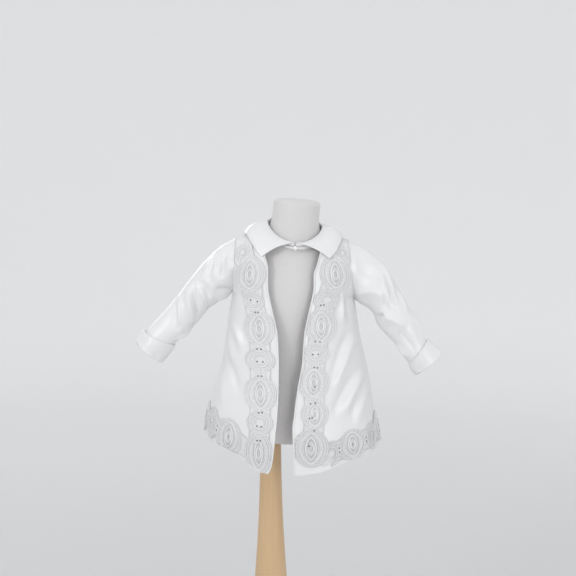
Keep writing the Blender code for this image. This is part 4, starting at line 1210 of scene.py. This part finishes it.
def medallion_lines(m):
    """All the cords of one medallion, from its rim to its middle."""
    lines = []
    for ring in BIG_RINGS if is_big(m) else SMALL_RINGS:
        wide, tall = ring_size(m, ring.share)
        turns = oval(wide, tall, int(max(LEAST_STEPS, pi * (wide + tall) / CORD_STEP)))
        lines.append(Line(ring_points(m, ring.share, turns), ring.radius, ring.rise, True, ring.grey))
    for band in BIG_BANDS if is_big(m) else SMALL_BANDS:
        lines += band_lines(m, band)
    return lines


def bead_spots(m):
    share = BEAD_SHARE[is_big(m)]
    wide, tall = ring_size(m, share)
    return list(ring_points(m, share, oval(wide, tall, int(BEADS_PER_MM * (wide + tall)))))


def meeting(m, after, along):
    """Where two medallions meet, on the line between their middles."""
    share = m[2 + along] / (m[2 + along] + after[2 + along])
    return mix(np.array(m[:2], float), np.array(after[:2], float), share)


def small_loop(middle, wide, tall, steps):
    turns = turns_round(steps)
    return middle + points_of(wide * np.cos(turns), tall * np.sin(turns))


def crown_lines(m, after, along):
    """Two small loops side by side where two medallions meet, in a crown."""
    wide, tall = CROWN_LOOP if along else CROWN_LOOP[::-1]
    loops = []
    for aside in (-1, 1):
        place = [0.0, 0.0]
        place[1 - along] = aside * (CROWN_LOOP[0] + CROWN_APART)
        loop = small_loop(meeting(m, after, along) + place, wide, tall, CROWN_STEPS)
        loops.append(Line(loop, CROWN_CORD, CROWN_RISE, True, False))
    return loops


def clip_lines(lines, inside):
    """Keep the stretches of cords that lie on the lace."""
    kept = []
    for line in lines:
        points, held = line.points, inside(line.points)
        if held.all():
            kept.append(line)
            continue
        if line.closed and held.any():
            start = int(np.argmin(held))
            points, held = np.roll(points, -start, axis=0), np.roll(held, -start)
        ends = np.flatnonzero(np.diff(np.concatenate(([0], held.astype(int), [0]))))
        kept += [line._replace(points=points[first:last], closed=False)
                 for first, last in zip(ends[::2], ends[1::2]) if last - first > 1]
    return kept


# A round cord along each line of a wire mesh.
CORDS = growing_tree("lace_cord", {"Cord sides": "Int"}, {
    "line": ("GeometryNodeMeshToCurve",),
    "thick": ("GeometryNodeInputNamedAttribute", {"data_type": "FLOAT"}, {"Name": "cord_radius"}),
    "circle": ("GeometryNodeCurvePrimitiveCircle", {}, {"Radius": 1.0}),
    "sweep": ("GeometryNodeCurveToMesh", {}, {"Fill Caps": True}),
}, ["input.Seed > line.Mesh", "line.Curve > sweep.Curve", "thick.Attribute > sweep.Scale",
    "input.Cord sides > circle.Resolution", "circle.Curve > sweep.Profile Curve",
    "sweep.Mesh > soften.Geometry"])


def cord_piece(name, lines, drape, finish):
    """Round cords laid on a drape."""
    points, edges, radii = [], [], []
    first = 0
    for line in lines:
        count = len(line.points)
        points.append(drape.at(*line.points.T, line.rise))
        k = np.arange(count if line.closed else count - 1)
        edges.append(np.stack((k, (k + 1) % count), axis=1) + first)
        radii.append(np.full(count, line.radius))
        first += count
    mesh = bpy.data.meshes.new(name)
    mesh.from_pydata((np.concatenate(points) * MM).tolist(), np.concatenate(edges).tolist(), [])
    mesh.attributes.new("cord_radius", "FLOAT", "POINT").data.foreach_set(
        "value", np.concatenate(radii).astype(np.float32) * MM)
    return grown(name, mesh, CORDS, {"Cord sides": CORD_SIDES, "Finish": finish.material})


def dots_on(name, drape, spots, rise, half_size, finish, roundness=1):
    """Small round bodies laid on a drape at flat places."""
    x, y = np.array(spots).T
    at = drape.at(x, y, rise)
    return dot_piece(name, at, drape.at(x, y, rise + 1) - at, drape.at(x, y + 1, rise) - at, half_size,
                     finish, roundness)


def strip_ends(medallions, along, place, neck):
    """Both edges of a strip at a place along it: its neck's, or a medallion's that is wider there."""
    order = sorted(medallions, key=lambda m: m[along])
    middle = float(curve([m[along] for m in order], [m[1 - along] for m in order], place))
    ends = [middle - neck, middle + neck]
    for m in medallions:
        offset = (place - m[along]) / m[2 + along]
        if abs(offset) < 1:
            half = m[3 - along] * sqrt(1 - offset ** 2)
            ends += [m[1 - along] - half, m[1 - along] + half]
    return min(ends), max(ends)


def lace_pieces(name, node, drape, net_grid, medallions, along, edges, eyelets, inside, cut):
    """Net, cords, beads and eyelets of one strip of lace, fixed on the only body.

    along is 1 for a strip that runs upwards and 0 for one that runs across. An edge has a place along
    the strip and the strip's two ends there. inside says which places lie on the lace.
    """
    strip = shell(name + "_net", net_grid, NET_WALL, net)
    lines, beads = [], []
    for m in medallions:
        lines += medallion_lines(m)
        beads += bead_spots(m)
    for m, after in zip(medallions, medallions[1:]):
        lines += crown_lines(m, after, along)
    place, low, high = np.array(edges).T
    for end in (low + EDGE_CORD, high - EDGE_CORD):
        edge = points_of(end, place) if along else points_of(place, end)
        lines.append(Line(edge, EDGE_CORD, EDGE_RISE, False, True))
    lines = clip_lines(clip_lines(lines, inside), lambda points: np.all(
        [np.hypot(*(points - e[:2]).T) > e[2] + EYELET_CLEAR for e in eyelets], axis=0))
    for x, y, radius in eyelets:
        worked = small_loop((x, y), radius + EYELET_CORD, radius + EYELET_CORD, EYELET_STEPS)
        lines.append(Line(worked, EYELET_CORD, EYELET_RISE, True, False))
    parts = [cord_piece(name + "_" + cord.material.name, [line for line in lines if line.grey == grey],
                        drape, cord) for grey, cord in cords.items()]
    beads = [spot for spot, held in zip(beads, inside(np.array(beads))) if held]
    parts.append(dots_on(name + "_beads", drape, beads, BEAD_RISE, BEAD_HALF, cords[False]))
    parts.append(dots_on(name + "_holes", drape, [e[:2] for e in eyelets], HOLE_SHADE_RISE, HOLE_SHADE_HALF, hole,
                         HOLE_SHADE_ROUNDNESS))
    placed(strip, "silver_white_lace", node)
    for part in parts:
        placed(part, "silver_white_lace")


# Painted shade, darker near the hem for the shadow seen through the lace: colours above and below, with a
# change between.
PAINTED_SHADE_BETWEEN = (0.500, 0.455)
WEB = ((0.785, 0.785, 0.79), (0.735, 0.735, 0.74))
# Painted shade: the net's gaps, darker than its web, for the shade seen through them.
NET_GAP_SHADE = ((0.69, 0.69, 0.695), (0.61, 0.61, 0.615))
WHITE_CORD = (((0.83, 0.83, 0.84), (0.91, 0.91, 0.915)), ((0.78, 0.78, 0.79), (0.88, 0.88, 0.89)))
# Partly painted shade: the silver thread is made darker than its own colour, for the shade along its
# cords.
SILVER_AND_SHADE_CORD = (((0.60, 0.60, 0.61), (0.70, 0.70, 0.71)), ((0.50, 0.50, 0.51), (0.61, 0.61, 0.62)))


def painted_shade_share(finish):
    """Share of painted shade: 0 on the fronts' lace and 1 on the hem's."""
    return finish.between(finish.axis(finish.place(), 2), *PAINTED_SHADE_BETWEEN)


net = Finish("lace_net", {"Roughness": 0.8, "Specular IOR Level": 0.3})
net_cells = net.node("TexVoronoi", {"feature": "DISTANCE_TO_EDGE"},
                     {"Vector": net.node("UVMap", {"uv_map": "cloth"}), "Scale": 620.0})
web_line = net.node("ValToRGB", {"stops": [(0.0, 1.0), (0.16, 1.0), (0.30, 0.0), (1.0, 0.0)]},
                    {0: net_cells})
# Painted shade: the net is darker near the hem.
hem_shade = painted_shade_share(net)
# Painted shade: between the web lines the net is darker, for the shade seen through its gaps.
net.colour(web_line, net.blend(hem_shade, *NET_GAP_SHADE), net.blend(hem_shade, *WEB))
net.relief(web_line, depth=0.0003, strength=0.6)

cords = {}
for grey, name, (upper, lower) in ((False, "white_cord", WHITE_CORD), (True, "silver_and_shade_cord", SILVER_AND_SHADE_CORD)):
    cord = Finish(name, {"Roughness": 0.55, "Sheen Weight": 0.2})
    twist = cord.noise(cord.place(), scale=2600.0)
    # Painted shade: the cords are darker near the hem too.
    cord.colour(painted_shade_share(cord), cord.blend(twist, *upper), cord.blend(twist, *lower))
    cord.relief(twist, depth=0.0002, strength=0.5)
    cords[grey] = cord

# Painted shade: near-black, for the shadow seen in the eyelets' holes.
hole = Finish("lace_hole_shade", {"Roughness": 0.9, "Specular IOR Level": 0.1})
hole.colour(hole.noise(hole.place(), scale=1500.0), (0.16, 0.16, 0.17), (0.22, 0.22, 0.23))

for side, grid in front_grids.items():
    climb = lengths_along(grid, 0)
    level = [np.interp(LEVEL_Z, grid[:, i, 2], climb[:, i]) for i in range(grid.shape[1])]
    up = climb - np.array(level) + LEVEL_Z
    drape = Drape(grid, grid[:, :, 0], up)
    medallions = FRONT_LACE[side]

    def limits(height):
        seam, edge = [np.interp(height, up[:, k], grid[:, k, 0]) for k in (0, -1)]
        if side == "right":
            return seam + SEAM_BORDER, edge - EDGE_BORDER
        return edge + EDGE_BORDER, seam - SEAM_BORDER

    def inside(points):
        x, y = points.T
        low, high = limits(y)
        return (x > low) & (x < high) & (y < drape.end(x) - TOP_BORDER)

    def ends_at(height):
        neck = LACE_NECK if height > medallions[-1].y else 0.0
        ends = strip_ends(medallions, 1, height, neck)
        low, high = limits(height)
        return max(low, ends[0]), min(high, ends[1])

    bottom = medallions[-1].y - medallions[-1].half_height + FOOT_RISE
    top = float(drape.end(medallions[0].x)) - TOP_BORDER
    net_rows = []
    for height in np.linspace(bottom, top, int((top - bottom) / STRIP_STEP)):
        across = np.linspace(*ends_at(height), STRIP_COLUMNS + 1)
        share = max(0.0, (height - TOP_ROWS_FROM) / (top - TOP_ROWS_FROM))
        lengths = height + share * (drape.end(across) - TOP_BORDER - top)
        net_rows.append(drape.at(across, lengths, NET_LIFT))
    edge_heights = np.linspace(bottom + EDGE_FROM_FOOT, top - EDGE_FROM_TOP,
                               int((top - bottom) / CORD_STEP))
    edges = [(height, *ends_at(height)) for height in edge_heights]
    lace_pieces("lace_" + side, "lace_front_" + side, drape, np.array(net_rows), medallions, 1, edges,
                FRONT_EYELETS[side], inside,
                {"flat": (0.055, 0.39), "area": 0.0167, "rests_on": ["front_" + side]})

# ==== Hem lace ====
# The same lace sewn round the hem, in big and small medallions, on the fronts up to their corners
# and right round the back. Its plain ends are tucked under the corner medallions.

# Medallions: x runs along the hem from the side seam, and y is the height over the hem.
HEM_LACE = for_sides(
    MEDALLION,
    right=[
        (-10, 29, 28, 28),
        (35, 28, 18, 26),
        (78, 21, 28, 29),
    ],
    left=[
        (2, 27, 27, 25),
        (49, 26, 18, 21),
        (94, 25, 28, 24),
        (133, 25, 14, 20),
    ],
)
HEM_LACE_END = {"right": 114.0, "left": 137.0}
HEM_LACE_TUCK = 16.0
TUCK_SLOPE = (-4.0, 1.0)
TUCK_LIFT = 0.3
SIDE_BORDER = 1.2
HEM_BORDER = 1.0
NET_FOOT = 0.8
HEM_EYELET = 1.4
HEM_EYELET_APART = 3.2
HEM_EYELET_FROM_END = 4.0
BACK_LACE_PITCH = 48.0
BACK_LACE_SIZES = ((28, 27), (19, 21))
BACK_LACE_UP = 25.0
BACK_LACE_COUNT = 9


def hem_strip(name, node, grid, medallions, end, flat, area):
    """Strip of lace along a panel's hem, from the side seam to an end."""
    run = np.broadcast_to(lengths_along(grid, 1)[0], grid.shape[:2])
    drape = Drape(grid, run, lengths_along(grid, 0))
    tucked = end + HEM_LACE_TUCK if end < run[0, -1] - HEM_LACE_TUCK else end

    def inside(points):
        x, y = points.T
        return (x > SIDE_BORDER) & (x < end) & (y > HEM_BORDER)

    columns, edges = [], []
    for place in np.linspace(SIDE_BORDER, tucked, int(tucked / STRIP_STEP)):
        low, high = strip_ends(medallions, 0, place, LACE_NECK)
        low = max(low, NET_FOOT)
        if place < end:
            edges.append((place, low, high))
        slope = [end + reach for reach in TUCK_SLOPE]
        lift = np.interp(place, slope, (NET_LIFT, TUCK_LIFT)) if tucked > end else NET_LIFT
        columns.append(drape.at(place, np.linspace(low, high, STRIP_COLUMNS + 1), lift))
    eyelets = []
    for m, after in zip(medallions, medallions[1:]):
        x, y = meeting(m, after, 0)
        eyelets += [(x, y + HEM_EYELET_APART, HEM_EYELET), (x, y - HEM_EYELET_APART, HEM_EYELET)]
    eyelets += [(m.x, m.y, HEM_EYELET) for m in medallions
                if HEM_EYELET_FROM_END < m.x < end - HEM_EYELET_FROM_END]
    eyelets = [e for e, held in zip(eyelets, inside(np.array(eyelets)[:, :2])) if held]
    lace_pieces(name, node, drape, np.array(columns), medallions, 0, edges, eyelets, inside,
                {"flat": flat, "area": area, "rests_on": BODY_PANELS})


for side, flat, area in (("right", (0.058, 0.115), 0.0054), ("left", (0.052, 0.138), 0.00575)):
    hem_strip("lace_low_" + side, "lace_hem_" + side, front_grids[side], HEM_LACE[side],
              HEM_LACE_END[side], flat, area)
whole = lengths_along(back_grid, 1)[0, -1]
first = whole / 2 - BACK_LACE_PITCH * (BACK_LACE_COUNT - 1) / 2
back_lace = [(first + BACK_LACE_PITCH * k, BACK_LACE_UP, *BACK_LACE_SIZES[k % 2])
             for k in range(BACK_LACE_COUNT)]
hem_strip("lace_low_back", "lace_hem_back", back_grid, table(MEDALLION, *back_lace),
          whole - SIDE_BORDER, (0.056, 0.385), 0.0152)

# ==== Form and stand ====
# A limbless child's form covered in linen, on a turned birch post with a round birch base. The
# post goes into the form's underside, and the coat hangs from the form's shoulders.

# The form's rings: height up its own axis at the sides, half width and half depth; front_drop is how
# much lower the ring is at the front, so that the neck's root follows the neckline.
FORM_X = 8.0
FORM_Z = 438.0
FORM_LEAN = radians(5.0)
FORM_SIDES = 128
FORM_ROWS = 150
FORM = table(
    "height half_width half_depth front_drop",
    (0, 34, 28, 0), (3, 56, 44, 0), (14, 70, 53, 0), (26, 74, 55, 0),
    (40, 76, 56, 0), (64, 76, 56, 0), (90, 74, 55, 0), (120, 71, 53, 0),
    (150, 70, 53, 0), (178, 72, 53, 0), (205, 76, 54, 0), (228, 79, 54, 1),
    (250, 82, 53, 2), (272, 84, 52, 4), (290, 84, 50, 8), (303, 83.5, 48.5, 12),
    (312, 82, 47, 15), (328, 76, 45, 20), (338, 66, 43, 23), (346, 54, 41, 24),
    (354, 43.5, 39.5, 24), (362, 40, 38, 22), (380, 38.5, 37.5, 10), (396, 38.5, 37.5, 0),
    (401, 36.5, 35.5, 0), (403, 30, 29, 0),
)

TURNING = "z radius"
POST_X = -1.0
POST = table(
    TURNING,
    (22.3, 39), (40, 37.5), (110, 33), (200, 27),
    (260, 23), (312, 20.3), (380, 18.2), (434, 17.5),
)
BASE = table(
    TURNING,
    (0, 122), (3, 125), (14, 125), (20, 119), (22, 112),
)
POST_ROWS = 90
BASE_ROWS = 40
STAND_SIDES = 128
LINEN_THREAD = 0.0011
WEAVE_HEIGHT = 0.25
LINEN_COLOURS = ((0.65, 0.637, 0.637), (0.72, 0.705, 0.705))
BIRCH_SMOOTHEST = 0.38
PORES_ROUGHER = 0.15
RINGS_SHARE = 0.75
BIRCH_COLOURS = ((0.56, 0.375, 0.205), (0.70, 0.50, 0.295))

linen = Finish("form_linen", {"Roughness": 0.85, "Sheen Weight": 0.1})
linen_place = linen.place()
warp, weft = [(linen.axis(linen_place, k) * (2 * pi / LINEN_THREAD)).maths("SINE") for k in (0, 2)]
slub = linen.noise(linen_place, scale=420.0, detail=3.0)
linen.relief(weft * WEAVE_HEIGHT + warp * WEAVE_HEIGHT + slub, depth=0.0003, strength=0.5)
linen.colour(slub, *LINEN_COLOURS)


def along_rows(rows, count):
    """Columns of a table on smooth curves through its rows, at evenly spaced places."""
    at = np.linspace(0, len(rows) - 1, count)
    return [curve(range(len(rows)), values, at) for values in zip(*rows)]


height, half_width, half_depth, drop = [values[:, None] for values in along_rows(FORM, FORM_ROWS)]
form_turns = turns_round(FORM_SIDES)
to_side = half_width * np.cos(form_turns)
up = height - drop * np.maximum(0.0, -np.sin(form_turns)) ** NECK_DIP_POWER
form_rings = points_of(FORM_X + to_side * cos(FORM_LEAN) + up * sin(FORM_LEAN),
                       half_depth * np.sin(form_turns),
                       FORM_Z + up * cos(FORM_LEAN) - to_side * sin(FORM_LEAN))
form = stack_piece("form_piece", form_rings, linen)
placed(form, "form_linen", "form_body")

birch = Finish("birch_wood", {"Coat Weight": 0.1, "Coat Roughness": 0.3})
birch_place = birch.place()
along_grain = birch.node("Mapping", {}, {"Vector": birch_place, "Scale": (34.0, 34.0, 1.6)})
pores_place = birch.node("Mapping", {}, {"Vector": birch_place, "Scale": (600.0, 600.0, 14.0)})
rings = birch.node("ValToRGB", {"stops": [(0.3, 0.0), (0.45, 0.55), (0.55, 0.35), (0.75, 1.0)]},
                   {0: birch.noise(along_grain, scale=1.0, detail=4.0)})
pores = birch.noise(pores_place, scale=1.0, detail=2.0)
birch.colour(rings * RINGS_SHARE + pores * (1 - RINGS_SHARE), *BIRCH_COLOURS)
birch.feed(birch.shader, {"Roughness": pores * PORES_ROUGHER + BIRCH_SMOOTHEST})
birch.relief(pores, depth=0.0002, strength=0.4)

post_profile = [(z, float(column(POST, "z", "radius", z)))
                for z in np.linspace(POST[0].z, POST[-1].z, POST_ROWS)]
base_profile = list(zip(*along_rows(BASE, BASE_ROWS)))
for name, profile, x_middle in (("post", post_profile, POST_X), ("base", base_profile, 0.0)):
    turned = stack_piece(name + "_piece", lathe_points(
        profile, STAND_SIDES, lambda z, x, y: (x_middle + x, y, z)), birch)
    placed(turned, "birch", "stand_" + name)
